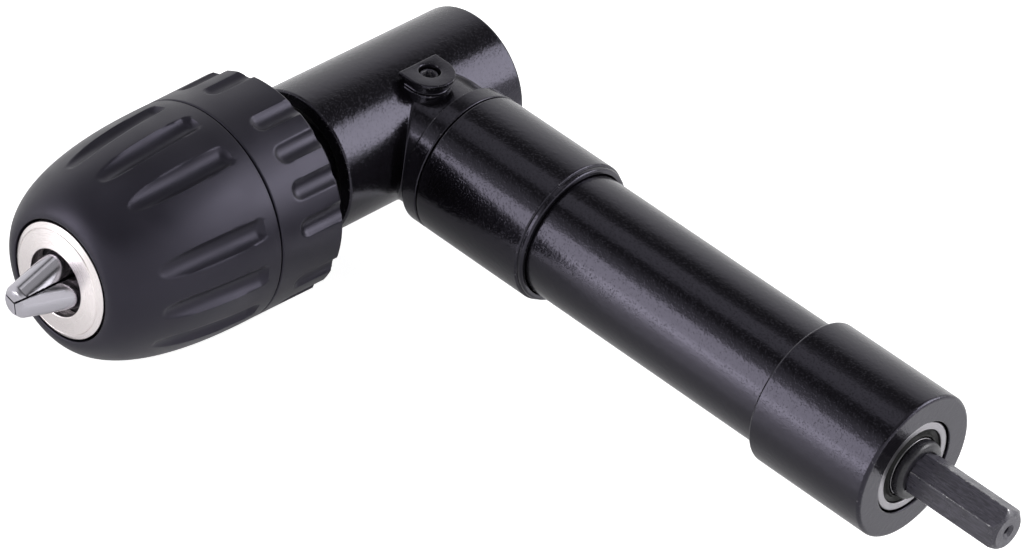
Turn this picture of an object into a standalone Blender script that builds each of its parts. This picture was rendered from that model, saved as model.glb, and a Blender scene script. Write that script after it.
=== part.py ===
"""Right angle drill adapter with a keyless chuck, as an assembly of its separate pieces.

Metres, +Z up. The origin is the centre of the rear cap's outer face. The chuck points along -Y,
and the drive tube with its hex shank runs along +X. Both axes cross inside the gear head.
Every piece is drawn on its own axis: local +Z runs from the crossing to the hex shank on the
drive axis, and from the crossing to the chuck's nose on the chuck axis.
"""

import math

import bmesh
import bpy
from mathutils import Matrix, Vector

MM = 0.001

# Clearances: between faces that meet, between a shaft and its bore, and between moving jaws
FACE_GAP = 0.3 * MM
RADIAL_FIT = 0.2 * MM
JAW_GAP = 0.3 * MM
JAW_BORE_FIT = 0.25 * MM
RUNNING_GAP = 0.5 * MM

# How far a cutter runs past the faces that it opens, and the cone that a drill leaves
CUT_PAST = 1.0 * MM
DRILL_POINT = 1.0 * MM

# Steps of a turned surface, from the large outer shells to the small screws
SHELL_STEPS = 40
BORE_STEPS = 32
SHAFT_STEPS = 24
RACE_STEPS = 20
SCREW_STEPS = 12
JAW_STEPS = 16
CIRCLIP_STEPS = 14

# Ball bearings: bore radius, outer radius, width, ball radius, number of balls
BALL_PLAY = 0.1 * MM
DRIVE_BORE_RADIUS = 4.0 * MM
DRIVE_BALL_RADIUS = 1.5 * MM
DRIVE_RACE_WALL = 1.15 * MM
DRIVE_OUTER_RADIUS = DRIVE_BORE_RADIUS + 2 * (DRIVE_BALL_RADIUS + BALL_PLAY + DRIVE_RACE_WALL)
DRIVE_BEARING_WIDTH = 6.0 * MM
DRIVE_BALL_COUNT = 7
DRIVE_BEARING = (
    DRIVE_BORE_RADIUS, DRIVE_OUTER_RADIUS, DRIVE_BEARING_WIDTH, DRIVE_BALL_RADIUS, DRIVE_BALL_COUNT,
)
SPINDLE_BORE_RADIUS = 6.0 * MM
SPINDLE_BALL_RADIUS = 1.6 * MM
SPINDLE_RACE_WALL = 1.3 * MM
SPINDLE_OUTER_RADIUS = SPINDLE_BORE_RADIUS + 2 * (SPINDLE_BALL_RADIUS + BALL_PLAY + SPINDLE_RACE_WALL)
SPINDLE_BEARING_WIDTH = 6.0 * MM
SPINDLE_BALL_COUNT = 9
SPINDLE_BEARING = (
    SPINDLE_BORE_RADIUS, SPINDLE_OUTER_RADIUS, SPINDLE_BEARING_WIDTH, SPINDLE_BALL_RADIUS,
    SPINDLE_BALL_COUNT,
)

# Gear head: barrel on the chuck axis, neck on the drive axis, each built out from its bearing
BARREL_WALL = 2.8 * MM
BARREL_RADIUS = SPINDLE_OUTER_RADIUS + RADIAL_FIT + BARREL_WALL
BARREL_FRONT = 27.3 * MM
BARREL_REAR = 20.15 * MM
EDGE_CHAMFER = 0.7 * MM
CHAMBER_WALL = 3.3 * MM
CHAMBER_RADIUS = BARREL_RADIUS - CHAMBER_WALL
REAR_WALL_FRONT = 9.4 * MM
CAP_THICKNESS = 3.6 * MM
CAP_RIM = 2.0 * MM
CAP_RADIUS = BARREL_RADIUS - CAP_RIM
SPANNER_HOLE_RADIUS = 1.5 * MM
SPANNER_HOLE_SPACING = 16.0 * MM
SPANNER_HOLE_DEPTH = 2.0 * MM
CARRIER_WALL = 1.8 * MM
SPIGOT_WALL = 1.6 * MM
SHELL_WALL = 1.85 * MM
NECK_ROUNDING = 1.75 * MM
NECK_BORE_RADIUS = DRIVE_OUTER_RADIUS + CARRIER_WALL
SPIGOT_RADIUS = NECK_BORE_RADIUS + SPIGOT_WALL
NECK_RADIUS = SPIGOT_RADIUS + SHELL_WALL
NECK_ROOT_RADIUS = NECK_RADIUS - NECK_ROUNDING
NECK_SHOWING = 1.2 * MM
NECK_END = BARREL_RADIUS + NECK_SHOWING
NECK_FLANGE = 1.2 * MM
SPIGOT_LENGTH = 10.6 * MM

# Boss with the grease screw on top of the gear head, a D in plan
BOSS_X = 8.65 * MM
BOSS_Y = -1.55 * MM
BOSS_RADIUS = 4.85 * MM
BOSS_FLAT = 3.55 * MM
BOSS_RISE = 1.0 * MM
BOSS_TOP = BARREL_RADIUS + BOSS_RISE
BOSS_FOOT = 8.0 * MM
BOSS_STEP = 0.45 * MM
BOSS_PLATE = 1.1 * MM
GREASE_SCREW_RADIUS = 1.8 * MM
GREASE_SCREW_LENGTH = 2.4 * MM
GREASE_SCREW_DEPTH = 0.9 * MM
GREASE_SOCKET = 2.0 * MM
GREASE_SOCKET_DEPTH = 1.05 * MM
GREASE_PASSAGE_RADIUS = 1.0 * MM

# Drive tube: lock ring, sleeve, extension tube and rear housing
LOCK_RING_WIDTH = 4.1 * MM
SLEEVE_END = 48.0 * MM
SLEEVE_CHAMFER = 0.9 * MM
SLEEVE_STOP = 3.0 * MM
SLEEVE_STOP_RADIUS = 9.5 * MM
SLEEVE_WALL = 1.75 * MM
TUBE_RADIUS = NECK_RADIUS - SLEEVE_WALL
TUBE_WALL = 2.0 * MM
TUBE_SOCKET = 11.6 * MM
HOUSING_WALL = 2.0 * MM
HOUSING_RADIUS = TUBE_RADIUS + HOUSING_WALL
HOUSING_START = 106.9 * MM
HOUSING_END = 134.25 * MM
HOUSING_SHOULDER_RADIUS = 8.0 * MM

# Details of every ball bearing
RACE_SHOULDER = 0.61 * MM
CAGE_RADIUS = 0.42 * MM
CAGE_SIDES = 6
BALL_STATIONS = (-0.96, -0.6, 0.0, 0.6, 0.96)
GROOVE_LIP = 1.03
GROOVE_FLOOR = 0.5
BEARING_RECESS = 0.35 * MM
SEAL_THICKNESS = 0.6 * MM
SEAL_SETBACK = 0.3 * MM

# Drive shaft with its hex shank
SHAFT_START = 6.0 * MM
SHANK_START = 136.3 * MM
SHANK_END = 157.0 * MM
SHANK_ACROSS_FLATS = 8.0 * MM
SHANK_TURN = math.radians(30)
SHANK_END_RADIUS = 3.45 * MM
SHANK_CHAMFER = 1.17 * MM
SHAFT_CHAMFER = 0.5 * MM
CENTRE_HOLE_RADIUS = 1.4 * MM
CENTRE_PILOT_RADIUS = 0.8 * MM
CENTRE_HOLE_DEPTH = 2.6 * MM
COLLAR_RADIUS = 6.0 * MM
COLLAR_LENGTH = 1.9 * MM
COLLAR_ROUND = 0.6 * MM

# Bevel gears, an equal pair whose cones meet at the crossing
TEETH = 12
MODULE = 1.65 * MM
FACE_WIDTH = 4.6 * MM
PRESSURE_ANGLE = math.radians(20)
DEDENDUM = 1.25
FLANK_MIDDLE = 0.4
ROOT_FLARE = 1.06
BACKLASH = 0.1 * MM
GEAR_FRONT_WALL = 0.9 * MM
GEAR_FRONT_STEP = 0.1 * MM
HUB_RADIUS = 7.0 * MM
PINION_HUB_END = 15.4 * MM
WHEEL_HUB_END = 14.4 * MM
ROLL_PIN_RADIUS = 1.0 * MM
ROLL_PIN_LENGTH = 13.4 * MM
ROLL_PIN_AT = 13.6 * MM

# Output spindle
SPINDLE_GEAR_RADIUS = 4.5 * MM
SPINDLE_REAR_RADIUS = 4.0 * MM
SPINDLE_REAR = 15.6 * MM
SPINDLE_COLLAR_RADIUS = 8.0 * MM
SPINDLE_NOSE_RADIUS = 4.75 * MM
SPINDLE_NOSE_LENGTH = 14.3 * MM
BUSH_RADIUS = 7.0 * MM
KEY_WIDTH = 2.0 * MM
KEY_HEIGHT = 2.2 * MM
KEY_LENGTH = 6.0 * MM
KEY_SETBACK = 0.2 * MM
CIRCLIP_THICKNESS = 0.8 * MM
CIRCLIP_PLAY = 0.15 * MM
CIRCLIP_OPENING = 40
BEARING_CIRCLIP_WALL = 1.8 * MM
GEAR_CIRCLIP_WALL = 1.3 * MM
GEAR_CIRCLIP_GROOVE = 0.7 * MM
HEAD_SEAL_WIDTH = 2.6 * MM
HEAD_SEAL_LIP = 0.8 * MM

# Keyless chuck, measured from the crossing to the nose
SPINDLE_SHOWING = 9.0 * MM
CHUCK_LENGTH = 51.85 * MM
RING_LENGTH = 16.0 * MM
CHUCK_REAR = BARREL_FRONT + SPINDLE_SHOWING
CHUCK_SEAM = CHUCK_REAR + RING_LENGTH
CHUCK_NOSE = CHUCK_REAR + CHUCK_LENGTH
RING_WALL = 1.9 * MM
RING_HOLE_RADIUS = 9.0 * MM
RING_CHAMFER = 0.6 * MM
NOSE_RING_RADIUS = 11.95 * MM
NOSE_RING_LENGTH = 2.95 * MM
NOSE_CHAMFER = 0.55 * MM
SLEEVE_NOSE_SETBACK = 0.3 * MM
BODY_NOSE_STEP = 0.35 * MM
BODY_NOSE_RADIUS = NOSE_RING_RADIUS - BODY_NOSE_STEP
BODY_NOSE_LENGTH = 4.9 * MM
BIT_BORE_RADIUS = 5.2 * MM
BODY_WEB = 2.6 * MM
CHUCK_SCREW_RADIUS = 2.4 * MM
CHUCK_SCREW_HEAD_RADIUS = 4.0 * MM
CHUCK_SCREW_HEAD = 3.0 * MM
CHUCK_SCREW_LENGTH = 13.0 * MM
CHUCK_SCREW_SOCKET = 4.0 * MM
CHUCK_SCREW_SOCKET_DEPTH = 1.5 * MM
DOME_REAR_CURVE = 2.4
DOME_NOSE_CURVE = 1.9
DOME_STEPS = 8

# Jaws: pins that slide along slanted bores and close on the axis
JAWS = 3
JAW_TILT = math.radians(16.5)
JAW_RADIUS = 3.4 * MM
JAW_SETBACK = 11.85 * MM
JAW_LENGTH = CHUCK_LENGTH - JAW_SETBACK
JAW_TRAVEL = 14.0 * MM
JAW_REACH = 11.0 * MM
JAW_OUTER_AT_NOSE = 6.2 * MM
JAW_TIP_RADIUS = 2.3 * MM
JAW_TIP_CHAMFER = 0.8 * MM
JAW_TURN = math.radians(106)
JAW_ROOM_PAST = 1.0 * MM

# The nut rides on the jaws' threads, and the body and the grips take their radii from it
NUT_SETBACK = 26.15 * MM
NUT_START = CHUCK_NOSE - NUT_SETBACK
NUT_LENGTH = 8.0 * MM
NUT_WALL = 4.05 * MM
NUT_RADIUS = JAW_OUTER_AT_NOSE + NUT_SETBACK * math.tan(JAW_TILT) + NUT_WALL
GRIP_WALL = 4.3 * MM
GRIP_FLARE = 0.2 * MM
CHUCK_RADIUS = NUT_RADIUS + GRIP_WALL
CHUCK_REAR_RADIUS = CHUCK_RADIUS + GRIP_FLARE
FLANGE_SETBACK = 2.5 * MM
FRONT_SETBACK = 4.0 * MM
THREAD_DEPTH = 7.6 * MM
BODY_FLANGE_RADIUS = NUT_RADIUS - FLANGE_SETBACK
BODY_FRONT_RADIUS = NUT_RADIUS - FRONT_SETBACK
BODY_GROOVE_RADIUS = NUT_RADIUS - THREAD_DEPTH

# Grip grooves on the chuck's two plastic shells
GRIP_GROUP_COUNT = 4
GRIP_CUTTER_RADIUS = 2.2 * MM
FRONT_GROOVE_COUNT = 3
FRONT_GROOVE_SETBACK = 4.9 * MM
FRONT_GROOVE_PITCH = math.radians(25)
FRONT_GROOVE_TURN = math.radians(1.5)
FRONT_GROOVE_TO_NOSE = 9.65 * MM
FRONT_GROOVE_REAR = CHUCK_SEAM + FRONT_GROOVE_SETBACK
FRONT_GROOVE_NOSE = CHUCK_NOSE - FRONT_GROOVE_TO_NOSE
FRONT_GROOVE_REAR_DEPTH = 0.9 * MM
FRONT_GROOVE_NOSE_DEPTH = 0.15 * MM
RING_GROOVE_COUNT = 4
RING_GROOVE_PITCH = math.radians(19)
RING_GROOVE_TURN = math.radians(45)
RING_GROOVE_SETBACK = 6.9 * MM
RING_GROOVE_END = CHUCK_SEAM - RING_GROOVE_SETBACK
RING_GROOVE_DEPTH = 0.8 * MM


def finish(name, colour, roughness, metallic):
    """A plain surface finish."""
    material = bpy.data.materials.new(name)
    material.use_nodes = True
    shader = material.node_tree.nodes["Principled BSDF"]
    shader.inputs["Base Color"].default_value = (*colour, 1.0)
    shader.inputs["Roughness"].default_value = roughness
    shader.inputs["Metallic"].default_value = metallic
    material.diffuse_color = (*colour, 1.0)
    return material


def empty(name, location, rotation, parent=None):
    """An axis that pieces are placed on."""
    axis = bpy.data.objects.new(name, None)
    axis.location = location
    axis.rotation_euler = rotation
    axis.parent = parent
    bpy.context.scene.collection.objects.link(axis)
    return axis


def piece(name, vertices, faces, axis, material, smooth=True):
    """One closed mesh on an axis, with its faces turned outwards."""
    mesh = bpy.data.meshes.new(name)
    mesh.from_pydata(vertices, [], faces)
    work = bmesh.new()
    work.from_mesh(mesh)
    bmesh.ops.recalc_face_normals(work, faces=work.faces)
    work.to_mesh(mesh)
    work.free()
    if smooth:
        mesh.shade_smooth()
        mesh.set_sharp_from_angle(angle=math.radians(35))
    if material is not None:
        mesh.materials.append(material)
    solid = bpy.data.objects.new(name, mesh)
    solid.parent = axis
    bpy.context.scene.collection.objects.link(solid)
    return solid


def as_form(solid):
    """Marks a solid as a guide that only shapes another piece."""
    solid.hide_render = True
    solid.display_type = "WIRE"
    return solid


def combine(target, form, operation):
    """Adds, cuts away or keeps what is shared with a form."""
    modifier = target.modifiers.new(f"{operation.lower()} {form.name}", "BOOLEAN")
    modifier.operation = operation
    modifier.solver = "EXACT"
    modifier.object = form


def ring_points(radius, z, steps, turn=0.0):
    """Points of a circle, or of any outline when radius is a function of the angle."""
    reach = radius if callable(radius) else (lambda angle: radius)
    angles = [turn + math.tau * k / steps for k in range(steps)]
    return [(reach(a) * math.cos(a), reach(a) * math.sin(a), z) for a in angles]


def turned_mesh(outline, steps, turn=0.0):
    """Turns an outline of (radius, z) points round the local Z axis.

    An outline that starts and ends on the axis gives a solid, any other closes on itself as a ring.
    """
    vertices = []
    rows = []
    for radius, z in outline:
        if not callable(radius) and radius == 0.0:
            rows.append([len(vertices)] * steps)
            vertices.append((0.0, 0.0, z))
        else:
            rows.append(list(range(len(vertices), len(vertices) + steps)))
            vertices.extend(ring_points(radius, z, steps, turn))
    on_axis = not callable(outline[0][0]) and outline[0][0] == 0.0
    pairs = list(zip(rows, rows[1:])) + ([] if on_axis else [(rows[-1], rows[0])])
    faces = []
    for low, high in pairs:
        for k in range(steps):
            after = (k + 1) % steps
            corners = [low[k], low[after], high[after], high[k]]
            face = [c for i, c in enumerate(corners) if c not in corners[:i]]
            if len(face) > 2:
                faces.append(face)
    return vertices, faces


def turned(name, outline, axis, material, steps=SHELL_STEPS, turn=0.0):
    """A turned piece."""
    vertices, faces = turned_mesh(outline, steps, turn)
    return piece(name, vertices, faces, axis, material)


def prism_mesh(outline, low, high):
    """An outline of (x, y) points drawn up from one height to another."""
    count = len(outline)
    vertices = [(x, y, low) for x, y in outline] + [(x, y, high) for x, y in outline]
    sides = [(k, (k + 1) % count, count + (k + 1) % count, count + k) for k in range(count)]
    return vertices, sides + [tuple(range(count)), tuple(range(count, 2 * count))]


def prism(name, outline, low, high, axis, material, smooth=True):
    """A straight piece with the same outline all along."""
    vertices, faces = prism_mesh(outline, low, high)
    return piece(name, vertices, faces, axis, material, smooth)


def merged(meshes):
    """Several (vertices, faces) meshes as one list, still apart from each other."""
    vertices = []
    faces = []
    for points, polygons in meshes:
        start = len(vertices)
        vertices.extend(points)
        faces.extend([[start + k for k in polygon] for polygon in polygons])
    return vertices, faces


def stacked_mesh(levels):
    """A solid through outlines of equal length, one above the other, each given as (outline, z)."""
    count = len(levels[0][0])
    vertices = [(x, y, z) for outline, z in levels for x, y in outline]
    faces = [tuple(range(count)), tuple(range(len(vertices) - count, len(vertices)))]
    for start in range(0, len(vertices) - count, count):
        for k in range(count):
            after = (k + 1) % count
            faces.append((start + k, start + after, start + count + after, start + count + k))
    return vertices, faces


def moved(mesh, matrix):
    """A (vertices, faces) mesh carried by a matrix."""
    vertices, faces = mesh
    return [tuple(matrix @ Vector(v)) for v in vertices], faces


def hexagon(across_flats, turn=0.0):
    """Distance from the centre to a hexagon's side, for any angle."""
    sixth = math.tau / 6

    def reach(angle):
        off_corner = (angle - turn) % sixth
        return across_flats / 2 / math.cos(off_corner - sixth / 2)

    return reach


def arc(centre, radius, start, end, steps):
    """Points of an arc in the plane, angles in degrees."""
    angles = [math.radians(start + (end - start) * k / steps) for k in range(steps + 1)]
    return [(centre[0] + radius * math.cos(a), centre[1] + radius * math.sin(a)) for a in angles]


def bearing(prefix, size, start, axis, steel, cage_material, opposite=False):
    """A ball bearing: outer race, inner race, and the balls with their cage as one string."""
    bore, outer, width, ball, count = size
    middle = start + width / 2
    pitch = (bore + outer) / 2
    groove = ball + BALL_PLAY
    lip = GROOVE_LIP * groove
    floor = GROOVE_FLOOR * ball

    def race(wall, direction):
        shoulder = pitch + direction * RACE_SHOULDER
        bottom = pitch + direction * groove
        return [
            (wall, start), (shoulder, start), (shoulder, middle - lip), (bottom, middle - floor),
            (bottom, middle + floor), (shoulder, middle + lip), (shoulder, start + width),
            (wall, start + width),
        ]

    turned(f"{prefix}_outer_race", race(outer, 1), axis, steel, RACE_STEPS)
    turned(f"{prefix}_inner_race", race(bore + RADIAL_FIT, -1), axis, steel, RACE_STEPS)

    # The string of balls is a tube round the pitch circle whose thickness follows each ball
    stations = []
    for k in range(count):
        for share in BALL_STATIONS:
            offset = share * ball
            swell = max(CAGE_RADIUS, math.sqrt(ball * ball - offset * offset))
            stations.append((math.tau * k / count + offset / pitch, swell))
    vertices = []
    for angle, swell in stations:
        for side in range(CAGE_SIDES):
            around = math.tau * side / CAGE_SIDES
            radius = pitch + swell * math.cos(around)
            vertices.append(
                (radius * math.cos(angle), radius * math.sin(angle), middle + swell * math.sin(around))
            )
    faces = []
    for k in range(len(stations)):
        for side in range(CAGE_SIDES):
            here = k * CAGE_SIDES
            there = ((k + 1) % len(stations)) * CAGE_SIDES
            beside = (side + 1) % CAGE_SIDES
            faces.append((here + side, here + beside, there + beside, there + side))
    piece(f"{prefix}_balls_and_cage", vertices, faces, axis, cage_material)


def circlip(name, inner, outer, start, axis, material, turn=0.0):
    """An open spring ring that holds a bearing or a gear on its seat."""
    centre = (0.0, 0.0)
    begin = turn + CIRCLIP_OPENING / 2
    end = turn + 360 - CIRCLIP_OPENING / 2
    outline = arc(centre, outer, begin, end, CIRCLIP_STEPS) + arc(centre, inner, end, begin, CIRCLIP_STEPS)
    return prism(name, outline, start, start + CIRCLIP_THICKNESS, axis, material)


def bevel_gear(name, bore, hub_end, turn, axis, material):
    """A straight bevel gear of the equal pair, its cone's tip at the crossing.

    The tooth is an involute on the back cone, and every point runs to the cone's tip, so the
    narrow end is the wide end scaled about the crossing.
    """
    slope = math.radians(45)
    pitch_radius = TEETH * MODULE / 2
    cone = pitch_radius / math.sin(slope)
    virtual_pitch = pitch_radius / math.cos(slope)
    base = virtual_pitch * math.cos(PRESSURE_ANGLE)
    tip = virtual_pitch + MODULE
    root = virtual_pitch - DEDENDUM * MODULE
    half_pitch = math.pi / 2 / (TEETH / math.cos(slope)) - BACKLASH / virtual_pitch

    def involute(angle):
        return math.tan(angle) - angle

    def half_width(radius):
        lean = math.acos(min(1.0, base / radius))
        return (half_pitch + involute(PRESSURE_ANGLE) - involute(lean)) / math.cos(slope)

    low_flank = max(base, root)
    middle = low_flank + FLANK_MIDDLE * MODULE
    half_tooth = [
        (root, ROOT_FLARE * half_width(low_flank)), (middle, half_width(middle)), (tip, half_width(tip)),
    ]
    tooth = [(radius, -angle) for radius, angle in half_tooth] + half_tooth[::-1]

    def ring(scale):
        points = []
        for k in range(TEETH):
            for radius, angle in tooth:
                out = radius - virtual_pitch
                around = turn + math.tau * k / TEETH + angle
                reach = (cone * math.sin(slope) + out * math.cos(slope)) * scale
                along = (cone * math.cos(slope) - out * math.sin(slope)) * scale
                points.append((reach * math.cos(around), reach * math.sin(around), along))
        return points

    shrink = (cone - FACE_WIDTH) / cone
    wide = ring(1.0)
    narrow = ring(shrink)
    per_tooth = len(tooth)
    count = len(wide)
    root_along = cone * math.cos(slope) + DEDENDUM * MODULE * math.sin(slope)
    front_radius = bore + GEAR_FRONT_WALL
    front_along = root_along * shrink + GEAR_FRONT_STEP
    outline = [
        (HUB_RADIUS, root_along), (HUB_RADIUS, hub_end), (bore, hub_end),
        (bore, front_along), (front_radius, front_along),
    ]
    hub_steps = 2 * TEETH
    # The hub's points lie under the two edges of each tooth's root
    hub_turn = turn - math.tau / hub_steps / 2
    vertices = wide + narrow
    rows = []
    for radius, along in outline:
        rows.append(list(range(len(vertices), len(vertices) + hub_steps)))
        vertices.extend(ring_points(radius, along, hub_steps, hub_turn))
    faces = []
    for k in range(count):
        after = (k + 1) % count
        faces.append((k, after, count + after, count + k))
    for low, high in zip(rows, rows[1:]):
        for k in range(hub_steps):
            after = (k + 1) % hub_steps
            faces.append((low[k], low[after], high[after], high[k]))
    for start, row in ((0, rows[0]), (count, rows[-1])):
        for k in range(TEETH):
            first = start + k * per_tooth
            half = per_tooth // 2
            left = row[2 * k]
            right = row[2 * k + 1]
            following = row[(2 * k + 2) % hub_steps]
            for j in range(half - 1):
                faces.append((first + j, first + j + 1, left))
            faces.append((first + half - 1, first + half, right, left))
            for j in range(half, per_tooth - 1):
                faces.append((first + j, first + j + 1, right))
            next_first = start + ((k + 1) % TEETH) * per_tooth
            faces.append((first + per_tooth - 1, next_first, following, right))
    return piece(name, vertices, faces, axis, material, smooth=False)


def capsule_mesh(start, end, radius, sides=12, rings=3):
    """A bar with round ends between two points."""
    direction = (end - start).normalized()
    length = (end - start).length
    outline = [(0.0, -radius)]
    for k in range(1, rings + 1):
        lift = math.radians(90 * k / rings)
        outline.append((radius * math.sin(lift), -radius * math.cos(lift)))
    outline += [(r, length - z) for r, z in reversed(outline)]
    mesh = turned_mesh(outline, sides)
    turn = Vector((0.0, 0.0, 1.0)).rotation_difference(direction).to_matrix().to_4x4()
    return moved(mesh, Matrix.Translation(start) @ turn)


def polar(radius, angle, z):
    """A point round the local Z axis."""
    return Vector((radius * math.cos(angle), radius * math.sin(angle), z))


def group_angles(groups, per_group, pitch, turn):
    """Angles of grooves that stand in equal groups round a shell."""
    angles = []
    for group in range(groups):
        for k in range(per_group):
            angles.append(turn + math.tau * group / groups + (k - (per_group - 1) / 2) * pitch)
    return angles


def jaw_outer(z):
    """Distance of the jaws' outer edge from the chuck's axis."""
    return JAW_OUTER_AT_NOSE + (CHUCK_NOSE - z) * math.tan(JAW_TILT)


def jaw_centre(z):
    """Distance of a jaw's own axis from the chuck's axis."""
    return jaw_outer(z) - JAW_RADIUS / math.cos(JAW_TILT)


def sleeve_radius(z):
    """Outer radius of the front grip sleeve, a dome that closes in on the nose ring."""
    rear = CHUCK_SEAM + FACE_GAP / 2
    front = CHUCK_NOSE - SLEEVE_NOSE_SETBACK
    lip = NOSE_RING_RADIUS + RUNNING_GAP
    share = min(1.0, max(0.0, (z - rear) / (front - rear)))
    return lip + (CHUCK_RADIUS - lip) * (1 - share**DOME_REAR_CURVE) ** (1 / DOME_NOSE_CURVE)


def build_gear_head(chuck_axis, drive_axis, black):
    """The cast T housing: barrel, neck with its spigot, and the boss on top."""
    housing = turned(
        "gear_head_housing",
        [
            (0.0, -BARREL_REAR), (BARREL_RADIUS - EDGE_CHAMFER, -BARREL_REAR),
            (BARREL_RADIUS, -BARREL_REAR + EDGE_CHAMFER), (BARREL_RADIUS, BARREL_FRONT - EDGE_CHAMFER),
            (BARREL_RADIUS - EDGE_CHAMFER, BARREL_FRONT), (0.0, BARREL_FRONT),
        ],
        chuck_axis,
        black,
        SHELL_STEPS,
        math.pi / SHELL_STEPS,
    )
    flange_start = NECK_END - NECK_FLANGE
    rounding = arc((NECK_ROOT_RADIUS, flange_start), NECK_ROUNDING, -90, 0, 3)
    neck = turned(
        "neck_form",
        [(0.0, 0.0), (NECK_ROOT_RADIUS, 0.0)] + rounding + [
            (NECK_RADIUS, NECK_END - FACE_GAP / 2), (SPIGOT_RADIUS, NECK_END - FACE_GAP / 2),
            (SPIGOT_RADIUS, NECK_END + SPIGOT_LENGTH), (0.0, NECK_END + SPIGOT_LENGTH),
        ],
        drive_axis,
        None,
    )
    combine(housing, as_form(neck), "UNION")

    # The boss stands on the world's Z axis, so it hangs on its own empty
    boss_axis = empty("boss_axis", (BOSS_X, BOSS_Y, 0.0), (0.0, 0.0, 0.0), chuck_axis.parent)

    def d_outline(radius, flat):
        open_angle = math.degrees(math.acos(-flat / radius))
        return arc((0.0, 0.0), radius, -open_angle, open_angle, 12)

    foot = d_outline(BOSS_RADIUS - BOSS_STEP, BOSS_FLAT - BOSS_STEP)
    plate = d_outline(BOSS_RADIUS, BOSS_FLAT)
    plate_start = BOSS_TOP - BOSS_PLATE
    boss_levels = [(foot, BOSS_FOOT), (foot, plate_start), (plate, plate_start), (plate, BOSS_TOP)]
    boss = piece("boss_form", *stacked_mesh(boss_levels), boss_axis, None)
    combine(housing, as_form(boss), "UNION")

    seat_radius = SPINDLE_BEARING[1] + RADIAL_FIT
    seat_start = WHEEL_HUB_END + FACE_GAP
    bearing_end = seat_start + FACE_GAP + SPINDLE_BEARING[2]
    clip_start = bearing_end + FACE_GAP
    clip_end = clip_start + CIRCLIP_THICKNESS + 2 * CIRCLIP_PLAY
    bush_hole = BUSH_RADIUS + RADIAL_FIT
    cap_seat = BARREL_REAR - CAP_THICKNESS - FACE_GAP
    bore = turned(
        "barrel_bore_form",
        [
            (0.0, -BARREL_REAR - CUT_PAST), (CAP_RADIUS + RADIAL_FIT, -BARREL_REAR - CUT_PAST),
            (CAP_RADIUS + RADIAL_FIT, -cap_seat), (bush_hole, -cap_seat),
            (bush_hole, -REAR_WALL_FRONT), (CHAMBER_RADIUS, -REAR_WALL_FRONT),
            (CHAMBER_RADIUS, seat_start), (seat_radius, seat_start), (seat_radius, clip_start),
            (seat_radius + CIRCLIP_THICKNESS, clip_start), (seat_radius + CIRCLIP_THICKNESS, clip_end),
            (seat_radius, clip_end), (seat_radius, BARREL_FRONT + CUT_PAST), (0.0, BARREL_FRONT + CUT_PAST),
        ],
        chuck_axis,
        None,
        BORE_STEPS,
    )
    combine(housing, as_form(bore), "DIFFERENCE")
    neck_bore = turned(
        "neck_bore_form",
        [
            (0.0, 0.0), (NECK_BORE_RADIUS, 0.0),
            (NECK_BORE_RADIUS, NECK_END + SPIGOT_LENGTH + CUT_PAST),
            (0.0, NECK_END + SPIGOT_LENGTH + CUT_PAST),
        ],
        drive_axis,
        None,
        SHELL_STEPS,
    )
    combine(housing, as_form(neck_bore), "DIFFERENCE")
    screw_bottom = BOSS_TOP - GREASE_SCREW_DEPTH - GREASE_SCREW_LENGTH - FACE_GAP
    screw_hole_radius = GREASE_SCREW_RADIUS + RADIAL_FIT
    screw_hole = turned(
        "grease_hole_form",
        [
            (0.0, CHAMBER_RADIUS / 2), (GREASE_PASSAGE_RADIUS, CHAMBER_RADIUS / 2),
            (GREASE_PASSAGE_RADIUS, screw_bottom), (screw_hole_radius, screw_bottom),
            (screw_hole_radius, BOSS_TOP + CUT_PAST), (0.0, BOSS_TOP + CUT_PAST),
        ],
        boss_axis,
        None,
        SCREW_STEPS,
    )
    combine(housing, as_form(screw_hole), "DIFFERENCE")
    return boss_axis, clip_start, clip_end


def socket_screw(name, low, outside, top, socket, socket_depth, axis, metal):
    """A screw with a hexagon socket in its top. Outside is the outline between its two ends."""
    side = hexagon(socket)
    floor = top - socket_depth
    shank_radius = outside[0][0]
    head_radius = outside[-1][0]
    bottom = [(0.0, low), (shank_radius, low)]
    head = [(head_radius, top), (side, top), (side, floor), (0.0, floor)]
    return turned(name, bottom + outside + head, axis, metal, SCREW_STEPS)


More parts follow.
